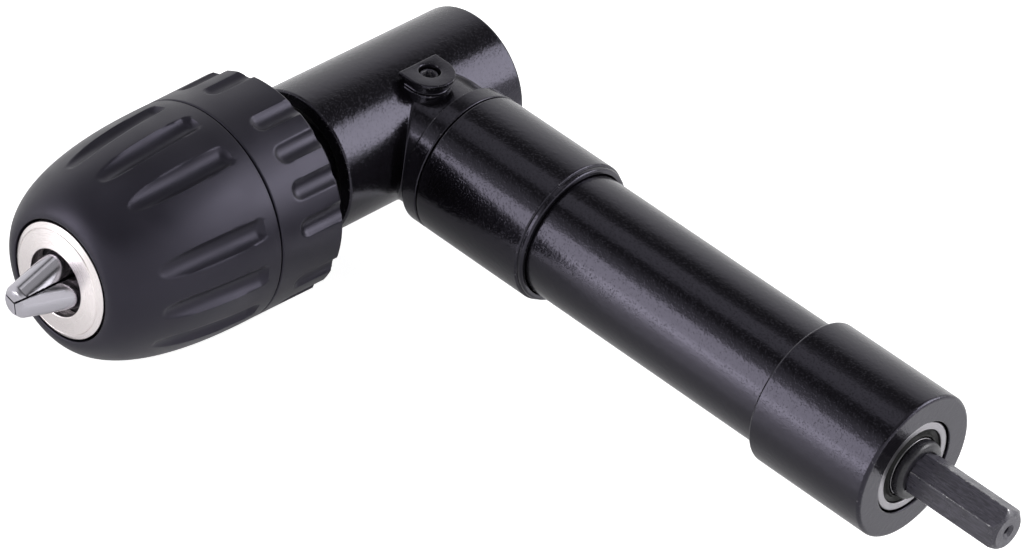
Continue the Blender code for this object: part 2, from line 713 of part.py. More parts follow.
def build_head_fittings(chuck_axis, boss_axis, clip_start, clip_end, black, steel, bronze, rubber):
    """What closes and lines the gear head."""
    cap = turned(
        "rear_end_cap",
        [
            (0.0, -BARREL_REAR + CAP_THICKNESS), (CAP_RADIUS, -BARREL_REAR + CAP_THICKNESS),
            (CAP_RADIUS, -BARREL_REAR + EDGE_CHAMFER / 2), (CAP_RADIUS - EDGE_CHAMFER / 2, -BARREL_REAR),
            (0.0, -BARREL_REAR),
        ],
        chuck_axis,
        black,
    )
    hole = ring_points(SPANNER_HOLE_RADIUS, 0.0, SCREW_STEPS)
    outline = [(x, y) for x, y, _ in hole]
    holes = []
    for side in (-1, 1):
        mesh = prism_mesh(outline, -BARREL_REAR - CUT_PAST, -BARREL_REAR + SPANNER_HOLE_DEPTH)
        holes.append(moved(mesh, Matrix.Translation((side * SPANNER_HOLE_SPACING / 2, 0.0, 0.0))))
    spanner_holes = piece("spanner_holes_form", *merged(holes), chuck_axis, None)
    combine(cap, as_form(spanner_holes), "DIFFERENCE")

    screw_top = BOSS_TOP - GREASE_SCREW_DEPTH
    screw_side = [(GREASE_SCREW_RADIUS, screw_top - GREASE_SCREW_LENGTH / 2)]
    socket_screw("grease_screw", screw_top - GREASE_SCREW_LENGTH, screw_side, screw_top, GREASE_SOCKET,
                 GREASE_SOCKET_DEPTH, boss_axis, steel)
    bush_inner = SPINDLE_REAR_RADIUS + RADIAL_FIT
    turned(
        "spindle_rear_bush",
        [
            (bush_inner, -SPINDLE_REAR), (BUSH_RADIUS, -SPINDLE_REAR),
            (BUSH_RADIUS, -REAR_WALL_FRONT - FACE_GAP), (bush_inner, -REAR_WALL_FRONT - FACE_GAP),
        ],
        chuck_axis,
        bronze,
        SHAFT_STEPS,
    )
    clip_outer = SPINDLE_BEARING[1] + CIRCLIP_THICKNESS - RADIAL_FIT
    circlip("front_bearing_circlip", SPINDLE_BEARING[1] - BEARING_CIRCLIP_WALL, clip_outer,
            clip_start + CIRCLIP_PLAY, chuck_axis, steel)
    seal_start = clip_end + FACE_GAP
    seal_inner = SPINDLE_COLLAR_RADIUS + RUNNING_GAP
    turned(
        "front_oil_seal",
        [
            (seal_inner, seal_start), (SPINDLE_BEARING[1], seal_start),
            (SPINDLE_BEARING[1], seal_start + HEAD_SEAL_WIDTH),
            (seal_inner + HEAD_SEAL_LIP, seal_start + HEAD_SEAL_WIDTH),
            (seal_inner, seal_start + HEAD_SEAL_WIDTH - HEAD_SEAL_LIP),
        ],
        chuck_axis,
        rubber,
        SHAFT_STEPS,
    )


def build_drive_tube(drive_axis, black):
    """The shells on the drive axis, from the neck to the rear housing."""
    bore = SPIGOT_RADIUS + FACE_GAP
    ring_end = NECK_END + LOCK_RING_WIDTH
    turned(
        "lock_ring",
        [
            (bore, NECK_END + FACE_GAP / 2), (NECK_RADIUS, NECK_END + FACE_GAP / 2),
            (NECK_RADIUS, ring_end - FACE_GAP / 2), (bore, ring_end - FACE_GAP / 2),
        ],
        drive_axis,
        black,
    )
    stop_start = NECK_END + SPIGOT_LENGTH + FACE_GAP
    stop_end = stop_start + SLEEVE_STOP
    socket = TUBE_RADIUS + RADIAL_FIT
    turned(
        "drive_tube_sleeve",
        [
            (bore, ring_end + FACE_GAP / 2), (NECK_RADIUS, ring_end + FACE_GAP / 2),
            (NECK_RADIUS, SLEEVE_END - SLEEVE_CHAMFER), (NECK_RADIUS - SLEEVE_CHAMFER, SLEEVE_END),
            (socket, SLEEVE_END), (socket, stop_end), (SLEEVE_STOP_RADIUS, stop_end),
            (SLEEVE_STOP_RADIUS, stop_start), (bore, stop_start),
        ],
        drive_axis,
        black,
    )
    tube_start = stop_end + FACE_GAP
    tube_end = HOUSING_START + TUBE_SOCKET
    turned(
        "extension_tube",
        [
            (TUBE_RADIUS - TUBE_WALL, tube_start), (TUBE_RADIUS, tube_start),
            (TUBE_RADIUS, tube_end), (TUBE_RADIUS - TUBE_WALL, tube_end),
        ],
        drive_axis,
        black,
    )
    seat = DRIVE_BEARING[1] + RADIAL_FIT
    seat_start = HOUSING_END - BEARING_RECESS - DRIVE_BEARING[2] - FACE_GAP
    rounding = arc((HOUSING_RADIUS - EDGE_CHAMFER, HOUSING_END - EDGE_CHAMFER), EDGE_CHAMFER, 0, 90, 2)
    turned(
        "rear_bearing_housing",
        [
            (socket, HOUSING_START), (HOUSING_RADIUS - EDGE_CHAMFER, HOUSING_START),
            (HOUSING_RADIUS, HOUSING_START + EDGE_CHAMFER),
        ] + rounding + [
            (seat, HOUSING_END), (seat, seat_start), (HOUSING_SHOULDER_RADIUS, seat_start),
            (HOUSING_SHOULDER_RADIUS, tube_end + FACE_GAP), (socket, tube_end + FACE_GAP),
        ],
        drive_axis,
        black,
    )


def build_drive_shaft(drive_axis, steel, dark_steel, gear_steel, rubber, cage):
    """The shaft with its hex shank, its pinion and the two bearings it runs in."""
    shaft_radius = DRIVE_BEARING[0]
    hex_reach = hexagon(SHANK_ACROSS_FLATS, SHANK_TURN)
    # The chamfer is a cone of 45 degrees, which cuts the corners further back than the flats
    chamfered = []
    for share in (1.0, 2 / 3, 1 / 3, 0.0):
        back = share * SHANK_CHAMFER
        chamfered.append((lambda a, b=back: min(hex_reach(a), SHANK_END_RADIUS + b), SHANK_END - back))
    countersink = CENTRE_HOLE_RADIUS - CENTRE_PILOT_RADIUS
    shaft = turned(
        "hex_drive_shaft",
        [
            (0.0, SHAFT_START), (shaft_radius - SHAFT_CHAMFER, SHAFT_START),
            (shaft_radius, SHAFT_START + SHAFT_CHAMFER), (shaft_radius, SHANK_START),
            (hex_reach, SHANK_START),
        ] + chamfered + [
            (CENTRE_HOLE_RADIUS, SHANK_END), (CENTRE_PILOT_RADIUS, SHANK_END - countersink),
            (0.0, SHANK_END - CENTRE_HOLE_DEPTH),
        ],
        drive_axis,
        dark_steel,
        SHAFT_STEPS,
        SHANK_TURN,
    )
    pinion_bore = shaft_radius + RADIAL_FIT
    pinion = bevel_gear("drive_pinion", pinion_bore, PINION_HUB_END, 0.0, drive_axis, gear_steel)
    pin_axis = empty("roll_pin_axis", (0.0, 0.0, ROLL_PIN_AT), (math.radians(90), 0.0, 0.0), drive_axis)

    def pin_outline(radius):
        return [(x, y) for x, y, _ in ring_points(radius, 0.0, SCREW_STEPS)]

    pin_hole = prism("pin_hole_form", pin_outline(ROLL_PIN_RADIUS + RADIAL_FIT),
                     -HUB_RADIUS - CUT_PAST, HUB_RADIUS + CUT_PAST, pin_axis, None)
    as_form(pin_hole)
    combine(shaft, pin_hole, "DIFFERENCE")
    combine(pinion, pin_hole, "DIFFERENCE")
    prism("pinion_roll_pin", pin_outline(ROLL_PIN_RADIUS), -ROLL_PIN_LENGTH / 2, ROLL_PIN_LENGTH / 2,
          pin_axis, steel)

    front_start = PINION_HUB_END + FACE_GAP
    bearing("drive_front_bearing", DRIVE_BEARING, front_start, drive_axis, steel, cage)
    carrier_radius = NECK_BORE_RADIUS - RADIAL_FIT
    carrier_seat = DRIVE_BEARING[1] + RADIAL_FIT
    carrier_end = NECK_END + SPIGOT_LENGTH
    seat_end = front_start + DRIVE_BEARING[2] + FACE_GAP
    turned(
        "front_bearing_carrier",
        [
            (carrier_seat, front_start), (carrier_radius, front_start), (carrier_radius, carrier_end),
            (HOUSING_SHOULDER_RADIUS, carrier_end), (HOUSING_SHOULDER_RADIUS, seat_end),
            (carrier_seat, seat_end),
        ],
        drive_axis,
        steel,
        BORE_STEPS,
    )
    rear_start = HOUSING_END - BEARING_RECESS - DRIVE_BEARING[2]
    bearing("drive_rear_bearing", DRIVE_BEARING, rear_start, drive_axis, steel, cage)
    pitch = (DRIVE_BEARING[0] + DRIVE_BEARING[1]) / 2
    seal_low = rear_start + DRIVE_BEARING[2] - SEAL_THICKNESS - SEAL_SETBACK
    turned(
        "rear_bearing_seal",
        [
            (pitch - RACE_SHOULDER + RADIAL_FIT, seal_low), (pitch + RACE_SHOULDER - RADIAL_FIT, seal_low),
            (pitch + RACE_SHOULDER - RADIAL_FIT, seal_low + SEAL_THICKNESS),
            (pitch - RACE_SHOULDER + RADIAL_FIT, seal_low + SEAL_THICKNESS),
        ],
        drive_axis,
        rubber,
        SHAFT_STEPS,
    )
    collar_start = rear_start + DRIVE_BEARING[2] + FACE_GAP
    collar_bore = shaft_radius + RADIAL_FIT
    collar_end = collar_start + COLLAR_LENGTH
    rounding = arc((COLLAR_RADIUS - COLLAR_ROUND, collar_end - COLLAR_ROUND), COLLAR_ROUND, 0, 90, 2)
    turned(
        "rear_shaft_collar",
        [(collar_bore, collar_start), (COLLAR_RADIUS, collar_start)] + rounding + [(collar_bore, collar_end)],
        drive_axis,
        dark_steel,
        SHAFT_STEPS,
    )


def build_spindle(chuck_axis, steel, dark_steel, gear_steel, cage):
    """The output spindle with its gear, key, clip and front bearing."""
    bearing_start = WHEEL_HUB_END + 2 * FACE_GAP
    journal_end = bearing_start + SPINDLE_BEARING[2] + FACE_GAP
    collar_end = CHUCK_REAR + RING_WALL
    nose_end = collar_end + SPINDLE_NOSE_LENGTH
    wheel_front = gear_front()
    clip_end = wheel_front - CIRCLIP_PLAY
    clip_start = clip_end - CIRCLIP_THICKNESS
    groove = SPINDLE_GEAR_RADIUS - GEAR_CIRCLIP_GROOVE
    screw_hole = CHUCK_SCREW_RADIUS + RADIAL_FIT
    screw_bottom = nose_end - CHUCK_SCREW_LENGTH
    spindle = turned(
        "output_spindle",
        [
            (0.0, -SPINDLE_REAR), (SPINDLE_REAR_RADIUS - SHAFT_CHAMFER, -SPINDLE_REAR),
            (SPINDLE_REAR_RADIUS, -SPINDLE_REAR + SHAFT_CHAMFER), (SPINDLE_REAR_RADIUS, -REAR_WALL_FRONT),
            (SPINDLE_GEAR_RADIUS, -REAR_WALL_FRONT), (SPINDLE_GEAR_RADIUS, clip_start - CIRCLIP_PLAY),
            (groove, clip_start - CIRCLIP_PLAY), (groove, clip_end + CIRCLIP_PLAY / 2),
            (SPINDLE_GEAR_RADIUS, clip_end + CIRCLIP_PLAY / 2),
            (SPINDLE_GEAR_RADIUS, WHEEL_HUB_END + FACE_GAP),
            (SPINDLE_BEARING[0], WHEEL_HUB_END + FACE_GAP), (SPINDLE_BEARING[0], journal_end),
            (SPINDLE_COLLAR_RADIUS, journal_end), (SPINDLE_COLLAR_RADIUS, collar_end),
            (SPINDLE_NOSE_RADIUS, collar_end), (SPINDLE_NOSE_RADIUS, nose_end), (screw_hole, nose_end),
            (screw_hole, screw_bottom), (0.0, screw_bottom - DRILL_POINT),
        ],
        chuck_axis,
        dark_steel,
        SHAFT_STEPS,
    )
    wheel_turn = math.tau / TEETH / 2
    wheel = bevel_gear("output_bevel_gear", SPINDLE_GEAR_RADIUS + RADIAL_FIT, WHEEL_HUB_END, wheel_turn,
                       chuck_axis, gear_steel)
    circlip("gear_circlip", groove + RADIAL_FIT, SPINDLE_GEAR_RADIUS + GEAR_CIRCLIP_WALL, clip_start,
            chuck_axis, steel, turn=180)

    # The key lies on the spindle's far side from the pinion, in a slot of both pieces
    key_end = WHEEL_HUB_END - KEY_SETBACK
    key_low = SPINDLE_GEAR_RADIUS - KEY_HEIGHT / 2

    def box(low, high, half_width, start, end):
        outline = [(low, -half_width), (high, -half_width), (high, half_width), (low, half_width)]
        return prism_mesh(outline, start, end)

    turn_back = Matrix.Rotation(math.pi, 4, "Z")
    half_key = KEY_WIDTH / 2
    key = moved(box(key_low, key_low + KEY_HEIGHT, half_key, key_end - KEY_LENGTH, key_end), turn_back)
    piece("gear_key", *key, chuck_axis, steel, smooth=False)
    half_slot = half_key + RADIAL_FIT
    slot = moved(
        box(key_low - FACE_GAP, key_low + KEY_HEIGHT + FACE_GAP, half_slot,
            key_end - KEY_LENGTH - FACE_GAP, WHEEL_HUB_END + CUT_PAST),
        turn_back,
    )
    wheel_slot = as_form(piece("wheel_keyway_form", *slot, chuck_axis, None))
    combine(wheel, wheel_slot, "DIFFERENCE")
    shaft_slot = moved(
        box(key_low - FACE_GAP, key_low + KEY_HEIGHT + FACE_GAP, half_slot,
            key_end - KEY_LENGTH - FACE_GAP, WHEEL_HUB_END),
        turn_back,
    )
    spindle_slot = as_form(piece("spindle_keyway_form", *shaft_slot, chuck_axis, None))
    combine(spindle, spindle_slot, "DIFFERENCE")
    bearing("spindle_front_bearing", SPINDLE_BEARING, bearing_start, chuck_axis, steel, cage)
    return collar_end, nose_end


def gear_front():
    """Where the narrow face of a bevel gear starts, measured from the crossing."""
    slope = math.radians(45)
    cone = TEETH * MODULE / 2 / math.sin(slope)
    root_along = cone * math.cos(slope) + DEDENDUM * MODULE * math.sin(slope)
    return root_along * (cone - FACE_WIDTH) / cone + GEAR_FRONT_STEP


def build_chuck(chuck_axis, collar_end, nose_end, grip, steel, nickel, jaw_steel):
    """The keyless chuck: body, jaws, nut, the two grip shells, nose ring and its screw."""
    body_rear = collar_end + FACE_GAP
    web_start = nose_end + FACE_GAP
    web_end = web_start + BODY_WEB
    nose_ring_start = CHUCK_NOSE - NOSE_RING_LENGTH
    body_front = nose_ring_start - FACE_GAP
    groove_start = NUT_START - FACE_GAP
    groove_end = NUT_START + NUT_LENGTH + FACE_GAP
    nose_start = body_front - BODY_NOSE_LENGTH
    thread_bore = SPINDLE_NOSE_RADIUS + RADIAL_FIT
    screw_clearance = CHUCK_SCREW_RADIUS + FACE_GAP
    body = turned(
        "chuck_body",
        [
            (thread_bore, body_rear), (BODY_FLANGE_RADIUS, body_rear), (BODY_FLANGE_RADIUS, groove_start),
            (BODY_GROOVE_RADIUS, groove_start), (BODY_GROOVE_RADIUS, groove_end),
            (BODY_FRONT_RADIUS, groove_end), (BODY_FRONT_RADIUS, nose_start),
            (BODY_NOSE_RADIUS, nose_start), (BODY_NOSE_RADIUS, body_front),
            (BIT_BORE_RADIUS, body_front), (BIT_BORE_RADIUS, web_end), (screw_clearance, web_end),
            (screw_clearance, web_start), (thread_bore, web_start),
        ],
        chuck_axis,
        steel,
        BORE_STEPS,
    )
    tip = CHUCK_NOSE + JAW_REACH
    back = Vector((math.sin(JAW_TILT), 0.0, -math.cos(JAW_TILT)))
    start = Vector((jaw_centre(tip), 0.0, tip))
    lean = Vector((0.0, 0.0, 1.0)).rotation_difference(back).to_matrix().to_4x4()
    onto_bore = Matrix.Translation(start) @ lean

    def bar(radius, low, high):
        outline = [(x, y) for x, y, _ in ring_points(radius, 0.0, JAW_STEPS)]
        return moved(prism_mesh(outline, low, high), onto_bore)

    half = math.pi / JAWS
    corner = JAW_GAP / 2 / math.sin(half)
    far = 2 * CHUCK_RADIUS
    for k in range(JAWS):
        angle = JAW_TURN + math.tau * k / JAWS
        jaw_axis = empty(f"jaw_{k + 1}_axis", (0.0, 0.0, 0.0), (0.0, 0.0, angle), chuck_axis)
        hole = bar(JAW_RADIUS + JAW_BORE_FIT, 0.0, JAW_LENGTH + JAW_TRAVEL + RUNNING_GAP)
        combine(body, as_form(piece(f"jaw_{k + 1}_bore_form", *hole, jaw_axis, None)), "DIFFERENCE")
        jaw = piece(f"jaw_{k + 1}", *bar(JAW_RADIUS, -JAW_RADIUS, JAW_LENGTH), jaw_axis, jaw_steel)
        # The wedge keeps the third of the circle that belongs to this jaw
        wedge_outline = [
            (corner, 0.0), (corner + far * math.cos(half), -far * math.sin(half)),
            (far * 2, 0.0), (corner + far * math.cos(half), far * math.sin(half)),
        ]
        wedge = prism(f"jaw_{k + 1}_wedge_form", wedge_outline, CHUCK_REAR, tip + far, jaw_axis, None)
        combine(jaw, as_form(wedge), "INTERSECT")
        nose = turned(
            f"jaw_{k + 1}_tip_form",
            [
                (0.0, CHUCK_REAR), (far, CHUCK_REAR), (far, tip - JAW_TIP_CHAMFER),
                (JAW_TIP_RADIUS + JAW_TIP_CHAMFER, tip - JAW_TIP_CHAMFER), (JAW_TIP_RADIUS, tip), (0.0, tip),
            ],
            jaw_axis,
            None,
            SHAFT_STEPS,
        )
        combine(jaw, as_form(nose), "INTERSECT")

    nut_end = NUT_START + NUT_LENGTH
    turned(
        "jaw_nut",
        [
            (jaw_outer(NUT_START) + JAW_GAP, NUT_START), (NUT_RADIUS, NUT_START),
            (NUT_RADIUS, nut_end), (jaw_outer(nut_end) + JAW_GAP, nut_end),
        ],
        chuck_axis,
        steel,
        BORE_STEPS,
    )
    turned(
        "nose_ring",
        [
            (jaw_outer(nose_ring_start) + JAW_GAP, nose_ring_start), (NOSE_RING_RADIUS, nose_ring_start),
            (NOSE_RING_RADIUS, CHUCK_NOSE - NOSE_CHAMFER), (NOSE_RING_RADIUS - NOSE_CHAMFER, CHUCK_NOSE),
            (jaw_outer(CHUCK_NOSE) + JAW_GAP, CHUCK_NOSE),
        ],
        chuck_axis,
        nickel,
    )
    head_start = web_end + FACE_GAP
    screw_side = [(CHUCK_SCREW_RADIUS, head_start), (CHUCK_SCREW_HEAD_RADIUS, head_start)]
    screw_low = nose_end - CHUCK_SCREW_LENGTH + FACE_GAP
    socket_screw("chuck_screw", screw_low, screw_side, head_start + CHUCK_SCREW_HEAD, CHUCK_SCREW_SOCKET,
                 CHUCK_SCREW_SOCKET_DEPTH, chuck_axis, steel)

    # Front grip sleeve: a dome outside, stepped over the body and the nut inside
    rear = CHUCK_SEAM + FACE_GAP / 2
    front = CHUCK_NOSE - SLEEVE_NOSE_SETBACK
    dome = []
    for k in range(DOME_STEPS + 1):
        z = rear + (front - rear) * math.sin(math.radians(90 * k / DOME_STEPS))
        dome.append((sleeve_radius(z), z))
    nut_room = NUT_RADIUS + FACE_GAP
    front_room = BODY_FRONT_RADIUS + RUNNING_GAP
    sleeve = turned(
        "front_grip_sleeve",
        dome + [
            (NOSE_RING_RADIUS + FACE_GAP, front), (NOSE_RING_RADIUS + FACE_GAP, nose_start + RUNNING_GAP),
            (front_room, nose_start + RUNNING_GAP), (front_room, nut_end + FACE_GAP),
            (nut_room, nut_end + FACE_GAP), (nut_room, rear),
        ],
        chuck_axis,
        grip,
    )
    bars = []
    for angle in group_angles(GRIP_GROUP_COUNT, FRONT_GROOVE_COUNT, FRONT_GROOVE_PITCH, FRONT_GROOVE_TURN):
        rear_lift = GRIP_CUTTER_RADIUS - FRONT_GROOVE_REAR_DEPTH
        nose_lift = GRIP_CUTTER_RADIUS - FRONT_GROOVE_NOSE_DEPTH
        rear_point = polar(sleeve_radius(FRONT_GROOVE_REAR) + rear_lift, angle, FRONT_GROOVE_REAR)
        nose_point = polar(sleeve_radius(FRONT_GROOVE_NOSE) + nose_lift, angle, FRONT_GROOVE_NOSE)
        bars.append(capsule_mesh(rear_point, nose_point, GRIP_CUTTER_RADIUS))
    front_bars = as_form(piece("front_grooves_form", *merged(bars), chuck_axis, None))
    combine(sleeve, front_bars, "DIFFERENCE")

    # Rear grip ring: a cup over the body's flange
    ring_front = CHUCK_SEAM - FACE_GAP / 2
    flange_room = BODY_FLANGE_RADIUS + FACE_GAP
    jaw_end = tip - (JAW_LENGTH + JAW_TRAVEL) * math.cos(JAW_TILT) - JAW_RADIUS * math.sin(JAW_TILT)
    jaw_room_start = jaw_end - JAW_ROOM_PAST
    jaw_room = jaw_outer(jaw_end) + RUNNING_GAP
    ring = turned(
        "rear_grip_ring",
        [
            (RING_HOLE_RADIUS, CHUCK_REAR), (CHUCK_REAR_RADIUS - RING_CHAMFER, CHUCK_REAR),
            (CHUCK_REAR_RADIUS, CHUCK_REAR + RING_CHAMFER), (CHUCK_RADIUS, ring_front),
            (jaw_room, ring_front), (jaw_room, jaw_room_start), (flange_room, jaw_room_start),
            (flange_room, CHUCK_REAR + RING_WALL), (RING_HOLE_RADIUS, CHUCK_REAR + RING_WALL),
        ],
        chuck_axis,
        grip,
    )
    bars = []
    for angle in group_angles(GRIP_GROUP_COUNT, RING_GROOVE_COUNT, RING_GROOVE_PITCH, RING_GROOVE_TURN):
        lift = CHUCK_REAR_RADIUS + GRIP_CUTTER_RADIUS - RING_GROOVE_DEPTH
        start_point = polar(lift, angle, CHUCK_REAR - 2 * GRIP_CUTTER_RADIUS)
        bars.append(capsule_mesh(start_point, polar(lift, angle, RING_GROOVE_END), GRIP_CUTTER_RADIUS))
    ring_bars = as_form(piece("ring_grooves_form", *merged(bars), chuck_axis, None))
    combine(ring, ring_bars, "DIFFERENCE")


def main():
    for leftover in list(bpy.data.objects):
        bpy.data.objects.remove(leftover, do_unlink=True)
    black = finish("black enamel", (0.012, 0.012, 0.014), 0.3, 0.0)
    grip = finish("charcoal plastic", (0.045, 0.043, 0.055), 0.45, 0.0)
    steel = finish("bright steel", (0.62, 0.62, 0.63), 0.3, 1.0)
    dark_steel = finish("black oxide steel", (0.06, 0.06, 0.065), 0.4, 0.9)
    gear_steel = finish("hardened gear steel", (0.35, 0.34, 0.33), 0.4, 1.0)
    jaw_steel = finish("polished jaw steel", (0.55, 0.55, 0.58), 0.2, 1.0)
    nickel = finish("satin nickel", (0.8, 0.76, 0.74), 0.35, 1.0)
    bronze = finish("sintered bronze", (0.5, 0.33, 0.15), 0.55, 1.0)
    rubber = finish("black rubber", (0.02, 0.02, 0.02), 0.8, 0.0)
    cage = finish("cage brass", (0.6, 0.5, 0.3), 0.4, 1.0)

    crossing = empty("axes_crossing", (0.0, -BARREL_REAR, 0.0), (0.0, 0.0, 0.0))
    drive_axis = empty("drive_axis", (0.0, 0.0, 0.0), (0.0, math.radians(90), 0.0), crossing)
    chuck_axis = empty("chuck_axis", (0.0, 0.0, 0.0), (math.radians(90), 0.0, 0.0), crossing)

    boss_axis, clip_start, clip_end = build_gear_head(chuck_axis, drive_axis, black)
    build_head_fittings(chuck_axis, boss_axis, clip_start, clip_end, black, steel, bronze, rubber)
    build_drive_tube(drive_axis, black)
    build_drive_shaft(drive_axis, steel, dark_steel, gear_steel, rubber, cage)
    collar_end, nose_end = build_spindle(chuck_axis, steel, dark_steel, gear_steel, cage)
    build_chuck(chuck_axis, collar_end, nose_end, grip, steel, nickel, jaw_steel)


main()
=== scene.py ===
# %% [markdown]
# # A right angle drill adapter, dressed piece by piece
# The tool turns a drill's drive round a corner: a hex shank and a long tube run along +X, a gear
# head sits where the two axes cross, and a keyless chuck points along -Y. The solids are loaded
# first as a fixed frame. Each piece that shows is then laid over its solid as a finer surface.

# %% Load the frame
import math

import bpy
import numpy as np
from mathutils import Matrix, Vector


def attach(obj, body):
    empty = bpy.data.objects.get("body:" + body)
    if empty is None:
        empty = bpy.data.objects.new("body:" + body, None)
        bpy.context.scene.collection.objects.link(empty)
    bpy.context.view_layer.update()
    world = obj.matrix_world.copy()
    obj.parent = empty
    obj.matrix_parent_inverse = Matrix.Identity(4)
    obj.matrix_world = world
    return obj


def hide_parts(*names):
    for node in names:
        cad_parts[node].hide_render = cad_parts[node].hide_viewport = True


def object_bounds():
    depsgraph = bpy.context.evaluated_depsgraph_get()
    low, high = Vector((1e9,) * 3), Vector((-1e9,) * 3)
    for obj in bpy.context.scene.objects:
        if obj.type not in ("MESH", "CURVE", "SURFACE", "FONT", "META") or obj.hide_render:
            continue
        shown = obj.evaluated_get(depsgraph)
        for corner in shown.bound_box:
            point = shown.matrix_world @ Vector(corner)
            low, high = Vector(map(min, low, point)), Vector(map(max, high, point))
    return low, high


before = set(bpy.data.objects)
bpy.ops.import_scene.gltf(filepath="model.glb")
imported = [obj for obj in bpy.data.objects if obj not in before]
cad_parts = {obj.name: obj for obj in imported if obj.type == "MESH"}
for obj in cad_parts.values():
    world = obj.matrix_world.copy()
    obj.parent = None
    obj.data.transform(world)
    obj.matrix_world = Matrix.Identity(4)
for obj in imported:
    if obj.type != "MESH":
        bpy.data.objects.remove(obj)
CAD_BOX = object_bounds()

# %% [markdown]
# ## Places
# All shapes are worked out in millimetres on one of two axes that cross in the gear head. A point is
# given by its distance from the axis, its angle round it and its place along it. Two small functions
# carry such points to the shared frame, so that no object is ever moved afterwards.

# %% The two axes
MM = 0.001
CROSSING = np.array([0.0, -20.15, 0.0])


def on_chuck_axis(radius, angle, along):
    """x = r cos a, z = r sin a, and the distance along the axis runs to -Y, from the crossing."""
    radius, angle, along = np.broadcast_arrays(radius, angle, along)
    place = np.stack([radius * np.cos(angle), -along, radius * np.sin(angle)], axis=-1)
    return place + CROSSING


def on_drive_axis(radius, angle, along):
    """y = r cos a, z = r sin a, and the distance along the axis runs to +X, from the crossing."""
    radius, angle, along = np.broadcast_arrays(radius, angle, along)
    place = np.stack([along, radius * np.cos(angle), radius * np.sin(angle)], axis=-1)
    return place + CROSSING


# %% [markdown]
# ## Camera
# The photograph was taken from far away with a long lens: its lines hardly converge. The view was
# worked out from the axes, the round end faces and the hexagon in the picture. It is given by the
# direction to the camera, the roll and the distance, as a photographer would note it down.

# %% Camera of the photograph
VIEW_AZIMUTH = math.radians(38.77)
VIEW_ELEVATION = math.radians(37.04)
VIEW_ROLL = math.radians(8.89)
VIEW_OFFSET = Vector((-22.47, -31.65, 1158.5))
FOCAL_PIXELS = 6000.9
PICTURE_WIDTH = 1024

back = Vector((
    math.sin(VIEW_AZIMUTH) * math.cos(VIEW_ELEVATION),
    -math.cos(VIEW_AZIMUTH) * math.cos(VIEW_ELEVATION),
    math.sin(VIEW_ELEVATION),
))
level = (-back).cross(Vector((0, 0, 1))).normalized()
upright = level.cross(-back)
right = math.cos(VIEW_ROLL) * level + math.sin(VIEW_ROLL) * upright
up = -math.sin(VIEW_ROLL) * level + math.cos(VIEW_ROLL) * upright
camera_data = bpy.data.cameras.new("camera")
camera_data.sensor_width = 36.0
camera_data.lens = FOCAL_PIXELS / PICTURE_WIDTH * camera_data.sensor_width
camera_data.clip_end = 20.0
camera = bpy.data.objects.new("camera", camera_data)
bpy.context.scene.collection.objects.link(camera)
seat = Vector(CROSSING) - (VIEW_OFFSET.x * right - VIEW_OFFSET.y * up - VIEW_OFFSET.z * back)
turned_to = Matrix((right, up, back)).transposed().to_4x4()
camera.matrix_world = Matrix.Translation(seat * MM) @ turned_to
bpy.context.scene.camera = camera
print("lens", round(camera_data.lens, 1), "mm, camera at", [round(v, 3) for v in camera.location])

# %% [markdown]
# ## Studio
# The pale table and the pale walls of the studio show in the black paint as soft grey. A dark ring at
# the edge of the ceiling shows as black, and the grey ceiling over it keeps the upper sides soft. The
# world is a vertical ramp, because only the height of what is reflected matters. Its input is the
# height of a unit direction, which is the sine of the elevation.

# %% World as a ramp over pale walls, a dark ring and a grey ceiling
scene = bpy.context.scene
scene.view_settings.view_transform = "Standard"
world = bpy.data.worlds.new("studio")
scene.world = world
world.use_nodes = True
tree = world.node_tree
tree.nodes.clear()
direction = tree.nodes.new("ShaderNodeTexCoord")
height = tree.nodes.new("ShaderNodeSeparateXYZ")
ramp = tree.nodes.new("ShaderNodeValToRGB")
DARK_RING = 0.07
WALL_RAMP = [
    (0.45, 1.0), (0.60, 0.78), (0.69, 0.45), (0.76, DARK_RING), (0.84, DARK_RING), (0.93, 0.45), (1.0, 0.45),
]
ramp.color_ramp.elements[0].position = WALL_RAMP[0][0]
ramp.color_ramp.elements[1].position = WALL_RAMP[-1][0]
for place, _ in WALL_RAMP[1:-1]:
    ramp.color_ramp.elements.new(place)
for element, (_, grey) in zip(ramp.color_ramp.elements, WALL_RAMP):
    element.color = (grey, grey, grey, 1.0)
ambient = tree.nodes.new("ShaderNodeBackground")
output = tree.nodes.new("ShaderNodeOutputWorld")
tree.links.new(direction.outputs["Generated"], height.inputs[0])
tree.links.new(height.outputs["Z"], ramp.inputs["Fac"])
tree.links.new(ramp.outputs["Color"], ambient.inputs["Color"])
tree.links.new(ambient.outputs["Background"], output.inputs["Surface"])
ring = [round(math.degrees(math.asin(place))) for place, grey in WALL_RAMP if grey == DARK_RING]
print("dark ring between", ring[0], "and", ring[1], "degrees of elevation")

# %% [markdown]
# Five soft boxes give the long highlights. The strong ones stand to the left of the camera and behind
# on the right, each with a weaker one beside it that softens its edge, and a weak one hangs above.

# %% Soft boxes
MIDDLE = Vector((0.06, -0.045, 0.0))
LEFT_TINT, RIGHT_TINT = (1.0, 0.98, 1.0), (0.98, 0.98, 1.0)


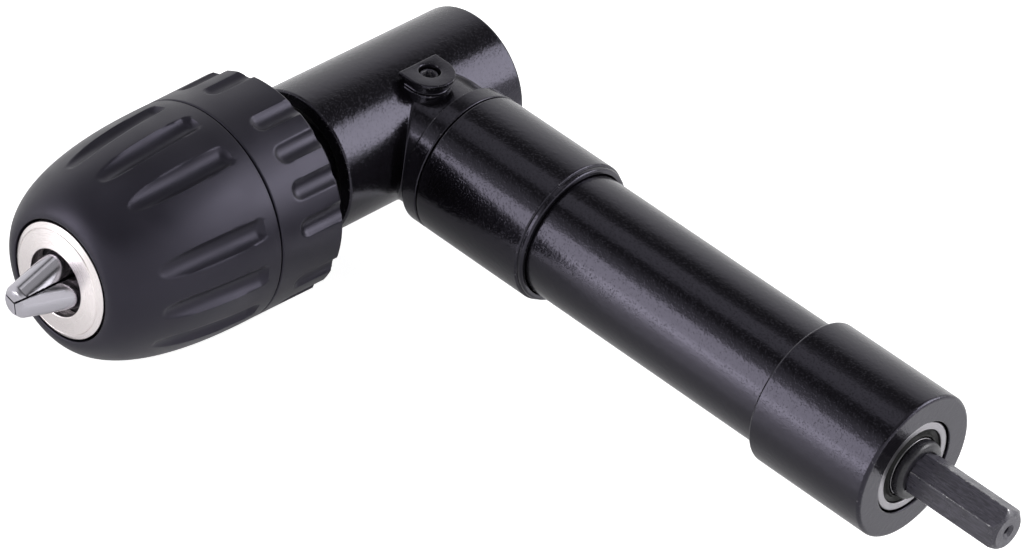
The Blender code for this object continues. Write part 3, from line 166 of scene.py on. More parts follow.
def soft_box(name, azimuth, elevation, distance, width, height, radiance, tint=(1.0, 1.0, 1.0)):
    """A rectangle that faces the object. Azimuth 0 is -Y and 90 is +X. Power = radiance * pi * area."""
    lamp = bpy.data.lights.new(name, "AREA")
    lamp.shape = "RECTANGLE"
    lamp.size = width
    lamp.size_y = height
    lamp.energy = radiance * math.pi * width * height
    lamp.color = tint
    holder = bpy.data.objects.new(name, lamp)
    az, el = math.radians(azimuth), math.radians(elevation)
    out = Vector((math.sin(az) * math.cos(el), -math.cos(az) * math.cos(el), math.sin(el)))
    holder.location = MIDDLE + distance * out
    holder.rotation_euler = out.to_track_quat("Z", "Y").to_euler()
    scene.collection.objects.link(holder)
    print(name, "at", round(distance, 2), "m from the object")


soft_box("front_soft_box", -31, 14.5, 0.9, 0.36, 0.54, 3.3, LEFT_TINT)
soft_box("front_low_strip", -31, 4, 0.88, 0.36, 0.15, 1.8, LEFT_TINT)
soft_box("rear_soft_box", 146, 32.5, 0.9, 0.5, 0.56, 4.6, RIGHT_TINT)
soft_box("top_light", -84, 62, 1.0, 0.4, 0.3, 0.6)
soft_box("side_soft_box", 119, 26, 0.9, 0.24, 0.56, 1.4, RIGHT_TINT)

# %% [markdown]
# The floor is a glossy white table. It takes the shadow, and it also glows a little where the camera
# or a reflection sees it, so that it is as white as the picture's ground. A reflection gets less of
# the glow, so that the shadow under the tool still darkens the paint's lower side.

# %% Floor
FLOOR_Z = CAD_BOX[0].z - 0.2 * MM
GLOW_SEEN = 0.85
GLOW_REFLECTED = 0.2
bpy.ops.mesh.primitive_plane_add(size=8.0, location=(0.0, 0.0, FLOOR_Z))
floor = bpy.context.object
floor.name = "floor"
white = bpy.data.materials.new("white_table")
white.use_nodes = True
nodes, links = white.node_tree.nodes, white.node_tree.links
sheet = nodes["Principled BSDF"]
sheet.inputs["Base Color"].default_value = (0.82, 0.82, 0.82, 1.0)
sheet.inputs["Roughness"].default_value = 0.16
sheet.inputs["IOR"].default_value = 1.7
sheet.inputs["Emission Color"].default_value = (1.0, 1.0, 1.0, 1.0)
path = nodes.new("ShaderNodeLightPath")
mirrored = nodes.new("ShaderNodeMath")
mirrored.operation = "MAXIMUM"
mirrored_glow = nodes.new("ShaderNodeMath")
mirrored_glow.operation = "MULTIPLY"
mirrored_glow.inputs[1].default_value = GLOW_REFLECTED
glow = nodes.new("ShaderNodeMath")
glow.operation = "MULTIPLY_ADD"
glow.inputs[1].default_value = GLOW_SEEN
links.new(path.outputs["Is Glossy Ray"], mirrored.inputs[0])
links.new(path.outputs["Is Transmission Ray"], mirrored.inputs[1])
links.new(mirrored.outputs[0], mirrored_glow.inputs[0])
links.new(path.outputs["Is Camera Ray"], glow.inputs[0])
links.new(mirrored_glow.outputs[0], glow.inputs[2])
links.new(glow.outputs[0], sheet.inputs["Emission Strength"])
floor.data.materials.append(white)
print("floor at", round(FLOOR_Z / MM, 2), "mm")

# %% [markdown]
# ## Shared effects
# Four effects are node groups, so that any finish can use them with values of its own: the skin of
# sprayed paint, the wear along edges, the fine rings that a lathe leaves, and the grain of moulded
# plastic. A group gives only heights and masks. The shader that uses them stays in the material.

# %% Helpers for node trees


def effect(name, inputs, outputs):
    """An empty node group with named float sockets. Returns the group and its two end nodes."""
    group = bpy.data.node_groups.new(name, "ShaderNodeTree")
    for label, value in inputs.items():
        socket = group.interface.new_socket(label, in_out="INPUT", socket_type="NodeSocketFloat")
        socket.default_value = value
    for label in outputs:
        group.interface.new_socket(label, in_out="OUTPUT", socket_type="NodeSocketFloat")
    return group, group.nodes.new("NodeGroupInput"), group.nodes.new("NodeGroupOutput")


def noise(tree, vector, scale, detail, rough=0.5):
    """A noise texture on a vector, which gives its value."""
    texture = tree.nodes.new("ShaderNodeTexNoise")
    texture.inputs["Detail"].default_value = detail
    texture.inputs["Roughness"].default_value = rough
    tree.links.new(vector, texture.inputs["Vector"])
    if isinstance(scale, float):
        texture.inputs["Scale"].default_value = scale
    else:
        tree.links.new(scale, texture.inputs["Scale"])
    return texture.outputs["Fac"]


def reckon(tree, operation, first, second=None, clamp=False):
    """One Math node. Each operand is a socket or a number."""
    node = tree.nodes.new("ShaderNodeMath")
    node.operation = operation
    node.use_clamp = clamp
    for socket, operand in zip(node.inputs, (first, second)):
        if operand is None:
            continue
        if isinstance(operand, (int, float)):
            socket.default_value = operand
        else:
            tree.links.new(operand, socket)
    return node.outputs[0]


def spread(tree, value, low, high, to_low, to_high):
    """A Map Range node from low..high to to_low..to_high, held inside that range."""
    node = tree.nodes.new("ShaderNodeMapRange")
    tree.links.new(value, node.inputs["Value"])
    for label, number in zip(("From Min", "From Max", "To Min", "To Max"), (low, high, to_low, to_high)):
        if isinstance(number, (int, float)):
            node.inputs[label].default_value = number
        else:
            tree.links.new(number, node.inputs[label])
    return node.outputs["Result"]


print("four helpers for node trees")

# %% [markdown]
# Sprayed enamel isn't a mirror. It has slow waves, called orange peel, and fine specks of dust that
# dried in it. In the picture they break every highlight on the tube into streaks and grains.

# %% Paint skin: height = waves + share of specks
paint_skin, ends_in, ends_out = effect(
    "Paint skin", {"Wave size": 620.0, "Speck size": 2600.0, "Specks": 0.5}, ["Height", "Speck mask"])
place = paint_skin.nodes.new("ShaderNodeTexCoord").outputs["Object"]
waves = noise(paint_skin, place, ends_in.outputs["Wave size"], 2.0)
specks = noise(paint_skin, place, ends_in.outputs["Speck size"], 1.0)
mask = spread(paint_skin, specks, 0.56, 0.72, 0.0, 1.0)
height = reckon(paint_skin, "ADD", waves, reckon(paint_skin, "MULTIPLY", mask, ends_in.outputs["Specks"]))
paint_skin.links.new(height, ends_out.inputs["Height"])
paint_skin.links.new(mask, ends_out.inputs["Speck mask"])
print("group", paint_skin.name)

# %% [markdown]
# Paint and oxide go first where a part is handled: along its edges. Each surface made below carries
# an attribute named edge, which is 1 on its roundings. Noise eats into it, so the wear isn't even.
# On the black enamel the same mask also paints a highlight: a lighter line where the roundings catch light.

# %% Edge wear and painted highlight: mask = edge attribute, bitten by noise
EDGE_MASK_SOFTNESS = 0.12
edge_wear_and_highlight, ends_in, ends_out = effect("Edge wear and highlight", {"Amount": 0.5, "Scale": 900.0}, ["Mask"])
place = edge_wear_and_highlight.nodes.new("ShaderNodeTexCoord").outputs["Object"]
edge = edge_wear_and_highlight.nodes.new("ShaderNodeAttribute")
edge.attribute_name = "edge"
bites = noise(edge_wear_and_highlight, place, ends_in.outputs["Scale"], 4.0, 0.65)
threshold = reckon(edge_wear_and_highlight, "SUBTRACT", 1.0, ends_in.outputs["Amount"])
bitten = reckon(edge_wear_and_highlight, "MULTIPLY", edge.outputs["Fac"], bites)
soft_end = reckon(edge_wear_and_highlight, "ADD", threshold, EDGE_MASK_SOFTNESS)
mask = spread(edge_wear_and_highlight, bitten, threshold, soft_end, 0.0, 1.0)
edge_wear_and_highlight.links.new(mask, ends_out.inputs["Mask"])
print("group", edge_wear_and_highlight.name)

# %% [markdown]
# A lathe's tool leaves rings. Seen in the object's coordinates they depend only on the distance from
# the turning axis and the place along it, so the noise is read at that pair of numbers.

# %% Lathe rings: height = noise of (distance from the axis, place along it)


def lathe_rings(name, along_axis):
    """A group for one of the two axes: along_axis is Y for the chuck and X for the drive tube."""
    group, ends_in, ends_out = effect(name, {"Scale": 9000.0, "Streaks": 0.35}, ["Height"])
    place = group.nodes.new("ShaderNodeTexCoord").outputs["Object"]
    moved = group.nodes.new("ShaderNodeMapping")
    moved.inputs["Location"].default_value = tuple(-CROSSING * MM)
    group.links.new(place, moved.inputs["Vector"])
    parts = group.nodes.new("ShaderNodeSeparateXYZ")
    group.links.new(moved.outputs[0], parts.inputs[0])
    across = reckon(group, "POWER", parts.outputs["X" if along_axis == "Y" else "Y"], 2.0)
    lift = reckon(group, "POWER", parts.outputs["Z"], 2.0)
    distance = reckon(group, "SQRT", reckon(group, "ADD", across, lift))
    pair = group.nodes.new("ShaderNodeCombineXYZ")
    group.links.new(distance, pair.inputs["X"])
    group.links.new(parts.outputs[along_axis], pair.inputs["Y"])
    rings = noise(group, pair.outputs[0], ends_in.outputs["Scale"], 2.0, 0.6)
    blotch = noise(group, place, 320.0, 3.0)
    height = reckon(group, "ADD", rings, reckon(group, "MULTIPLY", blotch, ends_in.outputs["Streaks"]))
    group.links.new(height, ends_out.inputs["Height"])
    return group


rings_on_chuck = lathe_rings("Lathe rings chuck", "Y")
rings_on_drive = lathe_rings("Lathe rings drive", "X")
print("groups", rings_on_chuck.name, "and", rings_on_drive.name)

# %% [markdown]
# The grips are moulded in a filled plastic. Its skin copies a spark eroded mould: a fine, even grain
# that makes it satin, with a few duller patches from handling.

# %% Moulded grain: height and a slow patch mask
moulded_grain, ends_in, ends_out = effect("Moulded grain", {"Scale": 5200.0}, ["Height", "Patch"])
place = moulded_grain.nodes.new("ShaderNodeTexCoord").outputs["Object"]
grain = noise(moulded_grain, place, ends_in.outputs["Scale"], 3.0, 0.6)
patch = noise(moulded_grain, place, 110.0, 3.0)
moulded_grain.links.new(grain, ends_out.inputs["Height"])
moulded_grain.links.new(patch, ends_out.inputs["Patch"])
print("group", moulded_grain.name)

# %% [markdown]
# ## Finishes
# Each finish is one Principled shader. What is the same all over is set on its own sockets, and only
# what changes over the surface comes through nodes. Skins are raised by millionths of a metre.

# %% Helpers for materials
MICRON = 0.000001


def finish(name, colour, roughness, metallic):
    """A material with its shader's plain values set."""
    made = bpy.data.materials.new(name)
    made.use_nodes = True
    shader = made.node_tree.nodes["Principled BSDF"]
    shader.inputs["Base Color"].default_value = (*colour, 1.0)
    shader.inputs["Roughness"].default_value = roughness
    shader.inputs["Metallic"].default_value = metallic
    made.diffuse_color = (*colour, 1.0)
    print("finish", name)
    return made, made.node_tree, shader


def place_effect(tree, group, **values):
    """Puts a node group into a material with its own values."""
    node = tree.nodes.new("ShaderNodeGroup")
    node.node_tree = group
    for label, value in values.items():
        node.inputs[label.replace("_", " ")].default_value = value
    return node


def raise_skin(tree, shader, height, step):
    """A Bump node. Step is the rise in metres where the height goes from 0 to 1."""
    bump = tree.nodes.new("ShaderNodeBump")
    bump.inputs["Distance"].default_value = step
    tree.links.new(height, bump.inputs["Height"])
    tree.links.new(bump.outputs["Normal"], shader.inputs["Normal"])


def blend(tree, mask, first, second):
    """A colour from first to second by a mask. First is a colour or a socket."""
    mix = tree.nodes.new("ShaderNodeMix")
    mix.data_type = "RGBA"
    if isinstance(first, bpy.types.NodeSocket):
        tree.links.new(first, mix.inputs["A"])
    else:
        mix.inputs["A"].default_value = (*first, 1.0)
    mix.inputs["B"].default_value = (*second, 1.0)
    tree.links.new(mask, mix.inputs["Factor"])
    return mix.outputs["Result"]


print("four helpers for materials")

# %% [markdown]
# Black enamel covers the gear head, the sleeve, the tube and the rear housing. It is nearly black,
# so almost all that shows is what it mirrors, a little violet as in the picture. The roughness rises
# on the specks. Along the edges a lighter grey shows. Part of it is worn paint with the dark grey
# primer under it, and part of it is a painted highlight for the bright lines that the roundings catch.

# %% Black enamel
PAINT, PRIMER_AND_HIGHLIGHT = (0.0035, 0.003, 0.004), (0.09, 0.088, 0.095)
enamel, tree, shader = finish("black_enamel", PAINT, 0.2, 0.0)
shader.inputs["Specular Tint"].default_value = (0.82, 0.78, 1.0, 1.0)
shader.inputs["IOR"].default_value = 1.52
coat = place_effect(tree, paint_skin, Wave_size=900.0, Speck_size=2800.0, Specks=0.4)
raise_skin(tree, shader, coat.outputs["Height"], 30 * MICRON)
# The lighter grey along the enamel's edges is worn primer and also a painted highlight on the roundings.
wear_and_highlight = place_effect(tree, edge_wear_and_highlight, Amount=0.42, Scale=1500.0)
tree.links.new(blend(tree, wear_and_highlight.outputs["Mask"], PAINT, PRIMER_AND_HIGHLIGHT), shader.inputs["Base Color"])
tree.links.new(spread(tree, coat.outputs["Speck mask"], 0.0, 1.0, 0.16, 0.27), shader.inputs["Roughness"])

# %% Charcoal plastic of the two grips
plastic, tree, shader = finish("charcoal_plastic", (0.0077, 0.0071, 0.0108), 0.4, 0.0)
shader.inputs["Specular Tint"].default_value = (0.82, 0.77, 1.0, 1.0)
grain = place_effect(tree, moulded_grain, Scale=5200.0)
raise_skin(tree, shader, grain.outputs["Height"], 18 * MICRON)
tree.links.new(spread(tree, grain.outputs["Patch"], 0.3, 0.7, 0.33, 0.45), shader.inputs["Roughness"])
darker, paler = (0.0066, 0.0061, 0.0093), (0.0088, 0.0081, 0.0122)
tree.links.new(blend(tree, grain.outputs["Patch"], darker, paler), shader.inputs["Base Color"])

# %% [markdown]
# The bare metals differ mostly in colour and in how fine their machining is. The nose ring is turned
# and satin plated with a warm tint, and the bearing races are ground. The chuck's body is a dark steel,
# and its darkness is also a painted shade for the shadow inside the nose ring's hole.

# %% Turned metals


def turned_metal(name, colour, rough_low, rough_high, rings, step):
    """A metal with lathe rings in its height and in its roughness."""
    made, tree, shader = finish(name, colour, rough_low, 1.0)
    marks = place_effect(tree, rings, Scale=9000.0, Streaks=0.35)
    raise_skin(tree, shader, marks.outputs["Height"], step)
    tree.links.new(spread(tree, marks.outputs["Height"], 0.4, 0.9, rough_low, rough_high),
                   shader.inputs["Roughness"])
    return made


nickel = turned_metal("satin_nickel", (0.9, 0.84, 0.84), 0.2, 0.34, rings_on_chuck, 3 * MICRON)
race_steel = turned_metal("race_steel", (0.34, 0.33, 0.35), 0.3, 0.45, rings_on_drive, 3 * MICRON)
# The chuck steel's dark colour is partly a painted shade for the shadow inside the nose ring's hole.
chuck_steel_painted_shade = turned_metal("turned_chuck_steel_painted_shade", (0.14, 0.135, 0.14), 0.3, 0.45, rings_on_chuck, 4 * MICRON)
bronze = turned_metal("sintered_bronze", (0.45, 0.29, 0.13), 0.45, 0.6, rings_on_chuck, 3 * MICRON)
brass = turned_metal("cage_brass", (0.58, 0.46, 0.24), 0.35, 0.45, rings_on_drive, 2 * MICRON)

# %% [markdown]
# The jaws are ground bright, on their round outer side and on their two flats. Grinding leaves
# scratches along the jaw, so the noise is stretched along the chuck's axis.

# %% Ground jaw steel
jaw_steel, tree, shader = finish("ground_jaw_steel", (0.5, 0.485, 0.535), 0.2, 1.0)
place = tree.nodes.new("ShaderNodeTexCoord").outputs["Object"]
stretched = tree.nodes.new("ShaderNodeMapping")
stretched.inputs["Scale"].default_value = (1.0, 0.06, 1.0)
tree.links.new(place, stretched.inputs["Vector"])
scratches = noise(tree, stretched.outputs[0], 5200.0, 2.0, 0.6)
raise_skin(tree, shader, scratches, 2 * MICRON)
tree.links.new(spread(tree, scratches, 0.3, 0.7, 0.13, 0.23), shader.inputs["Roughness"])

# %% [markdown]
# The shank and the spindle are blackened in hot oxide. It is a thin skin, so the steel shows through
# on the corners, and the drill's chuck has scored the flats of the hexagon. The collar and the spindle
# are never gripped, so their skin is darker and whole.

# %% Black oxide
OXIDE_SKIN = np.array([0.036, 0.034, 0.045])
OXIDE_SCORED = np.array([0.078, 0.073, 0.096])
BARE_STEEL = (0.5, 0.49, 0.5)


def blackened(name, amount, rubbing):
    """Black oxide on steel. The steel shows where the edges are worn, by the given amount, and
    rubbing makes the skin greyer where it was scored."""
    made, tree, shader = finish(name, (0.03, 0.028, 0.036), 0.35, 0.0)
    place = tree.nodes.new("ShaderNodeTexCoord").outputs["Object"]
    blotch = noise(tree, place, 420.0, 4.0, 0.6)
    wear_and_highlight = place_effect(tree, edge_wear_and_highlight, Amount=amount, Scale=1100.0)
    tree.links.new(wear_and_highlight.outputs["Mask"], shader.inputs["Metallic"])
    tree.links.new(spread(tree, blotch, 0.3, 0.7, 0.22, 0.42), shader.inputs["Roughness"])
    scores = tree.nodes.new("ShaderNodeMapping")
    scores.inputs["Scale"].default_value = (0.12, 1.0, 1.0)
    tree.links.new(place, scores.inputs["Vector"])
    scored = noise(tree, scores.outputs[0], 4200.0, 3.0, 0.6)
    raise_skin(tree, shader, scored, 7 * MICRON)
    grooves = spread(tree, scored, 0.4, 0.62, 0.0, 1.0)
    rubbed = blend(tree, grooves, OXIDE_SKIN * rubbing, OXIDE_SCORED * rubbing)
    tree.links.new(blend(tree, wear_and_highlight.outputs["Mask"], rubbed, BARE_STEEL), shader.inputs["Base Color"])
    return made


oxide = blackened("black_oxide", 0.52, 1.0)
dark_oxide = blackened("black_oxide_unworn", 0.3, 0.3)

# %% [markdown]
# The last finishes are plain. The gears show faint colours of hardening, the seals are dull rubber,
# and the small parts are bright steel. Most of them lie inside, so a slow noise is enough.

# %% Gear steel, rubber and small bright parts
gear_steel, tree, shader = finish("gear_steel", (0.32, 0.31, 0.3), 0.4, 1.0)
place = tree.nodes.new("ShaderNodeTexCoord").outputs["Object"]
heat = noise(tree, place, 260.0, 3.0)
tree.links.new(blend(tree, heat, (0.3, 0.29, 0.29), (0.36, 0.33, 0.29)), shader.inputs["Base Color"])
raise_skin(tree, shader, noise(tree, place, 5000.0, 2.0), 6 * MICRON)
rubber, tree, shader = finish("seal_rubber", (0.005, 0.005, 0.005), 0.7, 0.0)
shader.inputs["Specular IOR Level"].default_value = 0.3
place = tree.nodes.new("ShaderNodeTexCoord").outputs["Object"]
raise_skin(tree, shader, noise(tree, place, 3800.0, 3.0), 10 * MICRON)
tree.links.new(spread(tree, noise(tree, place, 500.0, 2.0), 0.3, 0.7, 0.5, 0.7), shader.inputs["Roughness"])
bright, tree, shader = finish("bright_steel", (0.5, 0.5, 0.51), 0.3, 1.0)
place = tree.nodes.new("ShaderNodeTexCoord").outputs["Object"]
tree.links.new(spread(tree, noise(tree, place, 1800.0, 3.0), 0.3, 0.7, 0.22, 0.4), shader.inputs["Roughness"])
print(len(bpy.data.materials), "materials")

# %% [markdown]
# Every solid of the frame gets its finish now. The ones that a finer surface stands for later are
# hidden then, and the inner pieces, such as the bevel gears and the balls, stay as they are.

# %% Finishes on the frame's solids
FINISHES = {
    "gear_head_housing rear_end_cap lock_ring drive_tube_sleeve extension_tube rear_bearing_housing": enamel,
    "rear_grip_ring front_grip_sleeve": plastic,
    "hex_drive_shaft grease_screw": oxide,
    "rear_shaft_collar output_spindle": dark_oxide,
    "chuck_body jaw_nut front_bearing_carrier": chuck_steel_painted_shade,
    "jaw_1 jaw_2 jaw_3": jaw_steel,
    "nose_ring": nickel,
    "spindle_rear_bush": bronze,
    "rear_bearing_seal front_oil_seal": rubber,
    "drive_pinion output_bevel_gear": gear_steel,
    "drive_front_bearing_balls_and_cage drive_rear_bearing_balls_and_cage": brass,
    "spindle_front_bearing_balls_and_cage": brass,
    "drive_front_bearing_outer_race drive_front_bearing_inner_race": race_steel,
    "drive_rear_bearing_outer_race drive_rear_bearing_inner_race": race_steel,
    "spindle_front_bearing_outer_race spindle_front_bearing_inner_race": race_steel,
    "front_bearing_circlip gear_circlip gear_key pinion_roll_pin chuck_screw": bright,
}
dressed = set()
for names, material in FINISHES.items():
    for name in names.split():
        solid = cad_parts[name]
        solid.data.materials.clear()
        solid.data.materials.append(material)
        dressed.add(name)
print("solids without a finish:", sorted(set(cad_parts) - dressed))

# %% [markdown]
# ## Turned pieces
# Most of this tool comes off a lathe. Its outline is a short list of corners, each with the radius
# of its rounding, and turning that outline round an axis gives the piece. Real edges are never
# sharp, and a rounding of a few tenths catches the thin bright lines that the picture shows.

# %% From corners to a rounded outline
ARC_STEPS = 5
SUPPORT = 0.06


def rounded_outline(corners):
    """Rows of (radius, along, edge). At a corner where the outline turns by t, an arc of radius f
    starts f tan(t/2) before the corner: p = centre + f (d0 sin s - n cos s), with s from 0 to t.
    A support point just before and after each arc keeps the shading of the long sides straight."""
    points = np.array([corner[:2] for corner in corners], float)
    rows = []
    for k, (_, _, radius) in enumerate(corners):
        here = points[k]
        into = here - points[k - 1]
        out = points[(k + 1) % len(points)] - here
        if radius == 0.0:
            rows.append(np.array([[here[0], here[1], 0.0]]))
            continue
        into = into / np.linalg.norm(into)
        out = out / np.linalg.norm(out)
        cross = into[0] * out[1] - into[1] * out[0]
        turn = math.atan2(abs(cross), float(into @ out))
        normal = np.array([-into[1], into[0]]) * math.copysign(1.0, cross)
        begin = here - into * radius * math.tan(turn / 2)
        finish_at = here + out * radius * math.tan(turn / 2)
        sweep = np.linspace(0.0, turn, ARC_STEPS + 1)[:, None]
        arc = begin + normal * radius + radius * (into * np.sin(sweep) - normal * np.cos(sweep))
        arc = np.vstack([begin - into * SUPPORT, arc, finish_at + out * SUPPORT])
        marks = np.r_[0.0, np.ones(ARC_STEPS + 1), 0.0]
        rows.append(np.column_stack([arc, marks]))
    return np.vstack(rows)


square = rounded_outline([(1, 0, 0.1), (2, 0, 0.1), (2, 1, 0.1), (1, 1, 0.1)])
print("a square with rounded corners has", len(square), "rows")

# %% [markdown]
# An outline that is swept round an axis is a grid of points, so one function can close any such grid
# into a mesh. It marks the roundings, turns the faces outward by the sign of the enclosed volume, and
# leaves out the faces where a wall has an opening.

# %% From a grid of points to a closed mesh
SHARP_FROM = math.radians(32)
COINCIDE = 1e-9


def outward(points, faces):
    """Signed volume of the closed surface, as the sum of a.(b x c)/6 over its triangles."""
    first = points[faces[:, 0]]
    total = 0.0
    for step in range(1, faces.shape[1] - 1):
        cross = np.cross(points[faces[:, step]], points[faces[:, step + 1]])
        total += float(np.einsum("ij,ij->", first, cross)) / 6
    return total


def opening(index, rows, half):
    """Walls of an opening between two rows of the outer side and the two rows inside that face them.
    It spans half columns on each side of angle 0. Each wall keeps the direction of the faces it ends."""
    outer_low, outer_high, inner_high, inner_low = rows
    here, there = np.arange(-half, half), np.arange(-half, half) + 1
    outer, inner = index[outer_low], index[inner_low]
    low = np.stack([outer[here], outer[there], inner[there], inner[here]], -1)
    outer, inner = index[outer_high], index[inner_high]
    high = np.stack([outer[there], outer[here], inner[here], inner[there]], -1)
    beside = index[[outer_low, outer_high, inner_high, inner_low], half][None]
    across = index[[outer_high, outer_low, inner_low, inner_high], -half][None]
    return np.concatenate([low, high, beside, across])


def skin(name, grid, edge, material, ring=True, cut=None):
    """Joins a grid of points (rows, columns, 3) in millimetres into a mesh that closes round its
    columns, and over its rows too when ring is true. A row whose points coincide is a pole. Cut
    holds the four rows and the half width of an opening."""
    rows, columns = grid.shape[:2]
    index = np.arange(rows * columns).reshape(rows, columns)
    poles = np.ptp(grid, axis=1).max(axis=1) < COINCIDE
    low = index if ring else index[:-1]
    high = np.roll(index, -1, axis=0) if ring else index[1:]
    at_low = poles[low[:, 0] // columns]
    at_high = poles[high[:, 0] // columns]
    plain = np.repeat(~(at_low | at_high)[:, None], columns, axis=1)
    if cut:
        inside = np.arange(-cut[1], cut[1])
        plain[cut[0][0], inside] = False
        plain[cut[0][2], inside] = False
    beside = np.roll(low, -1, axis=1)
    beyond = np.roll(high, -1, axis=1)
    quads = np.stack([low, beside, beyond, high], axis=-1)[plain]
    if cut:
        quads = np.concatenate([quads, opening(index, *cut)])
    fans_low = np.stack([np.repeat(low[:, :1], columns, axis=1), beyond, high], axis=-1)[at_low & ~at_high]
    fans_high = np.stack([low, beside, np.repeat(high[:, :1], columns, axis=1)], axis=-1)[at_high & ~at_low]
    fans = np.concatenate([fans_low.reshape(-1, 3), fans_high.reshape(-1, 3)])
    points = grid.reshape(-1, 3)
    marks = np.repeat(edge, columns) if edge.ndim == 1 else edge.reshape(-1)
    volume = outward(points, quads) + (outward(points, fans) if len(fans) else 0.0)
    if volume < 0:
        quads, fans = quads[:, ::-1], fans[:, ::-1]
    used = np.unique(np.concatenate([quads.reshape(-1), fans.reshape(-1)]))
    renumber = np.zeros(len(points), int)
    renumber[used] = np.arange(len(used))
    mesh = bpy.data.meshes.new(name)
    mesh.from_pydata((points[used] * MM).tolist(), [], renumber[quads].tolist() + renumber[fans].tolist())
    attribute = mesh.attributes.new("edge", "FLOAT", "POINT")
    attribute.data.foreach_set("value", marks[used].astype(np.float32))
    mesh.shade_smooth()
    mesh.set_sharp_from_angle(angle=SHARP_FROM)
    mesh.materials.append(material)
    made = bpy.data.objects.new(name, mesh)
    scene.collection.objects.link(made)
    return made


print("edges over", round(math.degrees(SHARP_FROM)), "degrees stay sharp")

# %% [markdown]
# A finished piece rides on the body that carries it, so that it moves with the joints. It also names
# the solid that it stands for, which is then hidden.

# %% Fitting a piece to the frame
TURNS = 192


def fit(made, body, node):
    """The piece rides on its body and stands for its solid, which is hidden."""
    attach(made, body)
    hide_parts(node)
    print(made.name, len(made.data.polygons), "faces for", node)


def turned(name, corners, axis, material, body, node):
    """Turns a rounded outline round an axis and fits it in place of a solid."""
    outline = rounded_outline(corners)
    angles = np.linspace(0.0, math.tau, TURNS, endpoint=False)
    grid = axis(outline[:, :1], angles[None, :], outline[:, 1:2])
    closed = corners[0][0] != 0.0
    fit(skin(name, grid, outline[:, 2], material, closed), body, node)


# %% [markdown]
# ### Shells of the drive tube
# A narrow lock ring sits against the gear head. The sleeve follows it, then the longer and thinner
# extension tube and the rear housing with the ball bearing. Their seams are fine dark lines
# beside a bright one. The bright line comes from two rounded edges with a small gap, and the
# enamel's lighter paint on the roundings adds a painted highlight there.

# %% Lock ring, sleeve, tube and housing
turned("seam_ring", [
    (13.2, 16.35, 0.1), (14.75, 16.35, 0.5), (14.75, 20.15, 0.3), (13.2, 20.15, 0.1),
], on_drive_axis, enamel, "gearbox", "lock_ring")
turned("front_sleeve", [
    (13.2, 20.45, 0.1), (14.75, 20.45, 0.35), (14.75, 46.8, 0.32), (14.3, 46.95, 0.06), (14.3, 48.0, 0.5),
    (13.2, 48.0, 0.15),
    (13.2, 30.1, 0.0), (9.5, 30.1, 0.0), (9.5, 27.1, 0.0), (13.2, 27.1, 0.0),
], on_drive_axis, enamel, "gearbox", "drive_tube_sleeve")
turned("long_tube", [
    (11.0, 30.4, 0.0), (13.0, 30.4, 0.2), (13.0, 118.5, 0.2), (11.0, 118.5, 0.0),
], on_drive_axis, enamel, "gearbox", "extension_tube")
turned("bearing_housing", [
    (13.2, 106.9, 0.12), (15.0, 106.9, 0.55), (15.0, 134.25, 0.7), (9.7, 134.25, 0.2),
    (9.7, 127.6, 0.0), (8.0, 127.6, 0.0), (8.0, 118.8, 0.0), (13.2, 118.8, 0.0),
], on_drive_axis, enamel, "gearbox", "rear_bearing_housing")

# %% [markdown]
# The rear bearing shows as a silver ring. Its black seal has a lip that touches the inner ring, and a
# dark collar sits on the shank before it. The bearing's hidden groove for the balls is cut as well.

# %% Rear bearing, seal and collar
turned("rear_outer_ring", [
    (9.4, 127.9, 0.3), (9.4, 133.9, 0.35), (7.8, 133.9, 0.2), (7.8, 132.9, 0.0), (7.36, 132.9, 0.0),
    (7.36, 132.4, 0.0),
    (8.35, 131.6, 0.0), (8.35, 130.2, 0.0), (7.36, 129.2, 0.0), (7.36, 127.9, 0.1),
], on_drive_axis, race_steel, "gearbox", "drive_rear_bearing_outer_race")
turned("rear_inner_ring", [
    (4.2, 127.9, 0.1), (6.14, 127.9, 0.1), (6.14, 129.2, 0.0), (5.15, 130.2, 0.0),
    (5.15, 131.6, 0.0), (5.98, 132.4, 0.0), (5.98, 133.9, 0.12), (4.2, 133.9, 0.3),
], on_drive_axis, race_steel, "drive_line", "drive_rear_bearing_inner_race")
turned("bearing_seal", [
    (6.25, 133.05, 0.05), (7.75, 133.05, 0.05), (7.75, 133.5, 0.15), (7.3, 133.4, 0.15), (6.8, 133.3, 0.1),
    (6.45, 133.9, 0.1), (6.25, 133.85, 0.05),
], on_drive_axis, rubber, "gearbox", "rear_bearing_seal")
turned("shaft_collar", [
    (4.2, 134.2, 0.1), (6.0, 134.2, 0.15), (6.0, 136.1, 1.0), (4.2, 136.1, 0.15),
], on_drive_axis, dark_oxide, "drive_line", "rear_shaft_collar")

# %% [markdown]
# ### Hex shank
# The shank is a hexagon of 8 mm across flats. Its distance from the axis is the flat's distance over
# the cosine of the angle off the flat. A 45 degree cone cuts the corners at the end, and a cylinder
# takes their tips off all along. The least of the three, softened, gives slightly worn corners. A
# drilled centre hole closes the end.

# %% Shaft with its hexagon
FLATS = 8.0
CORNER_REACH = 4.56
SHANK_TURN = math.radians(30)
SHANK_START, SHANK_END = 136.3, 157.0
END_RADIUS = 3.45
PAST_CORNERS = 9.0
WORN_FROM, WORN_WIDTH, CHAMFER_BAND = 4.44, 0.12, 0.09


def soft_least(softness, *fields):
    """A rounded minimum: -s log(sum of exp(-f/s))."""
    stack = np.stack(np.broadcast_arrays(*fields))
    least = stack.min(axis=0)
    return least - softness * np.log(np.exp(-(stack - least) / softness).sum(axis=0))


def hexagon(angle, flats):
    """Distance to a hexagon's side: half the width over flats over cos(angle off the flat)."""
    sixth = math.tau / 6
    off = (angle - SHANK_TURN) % sixth - sixth / 2
    return flats / 2 / np.cos(off)


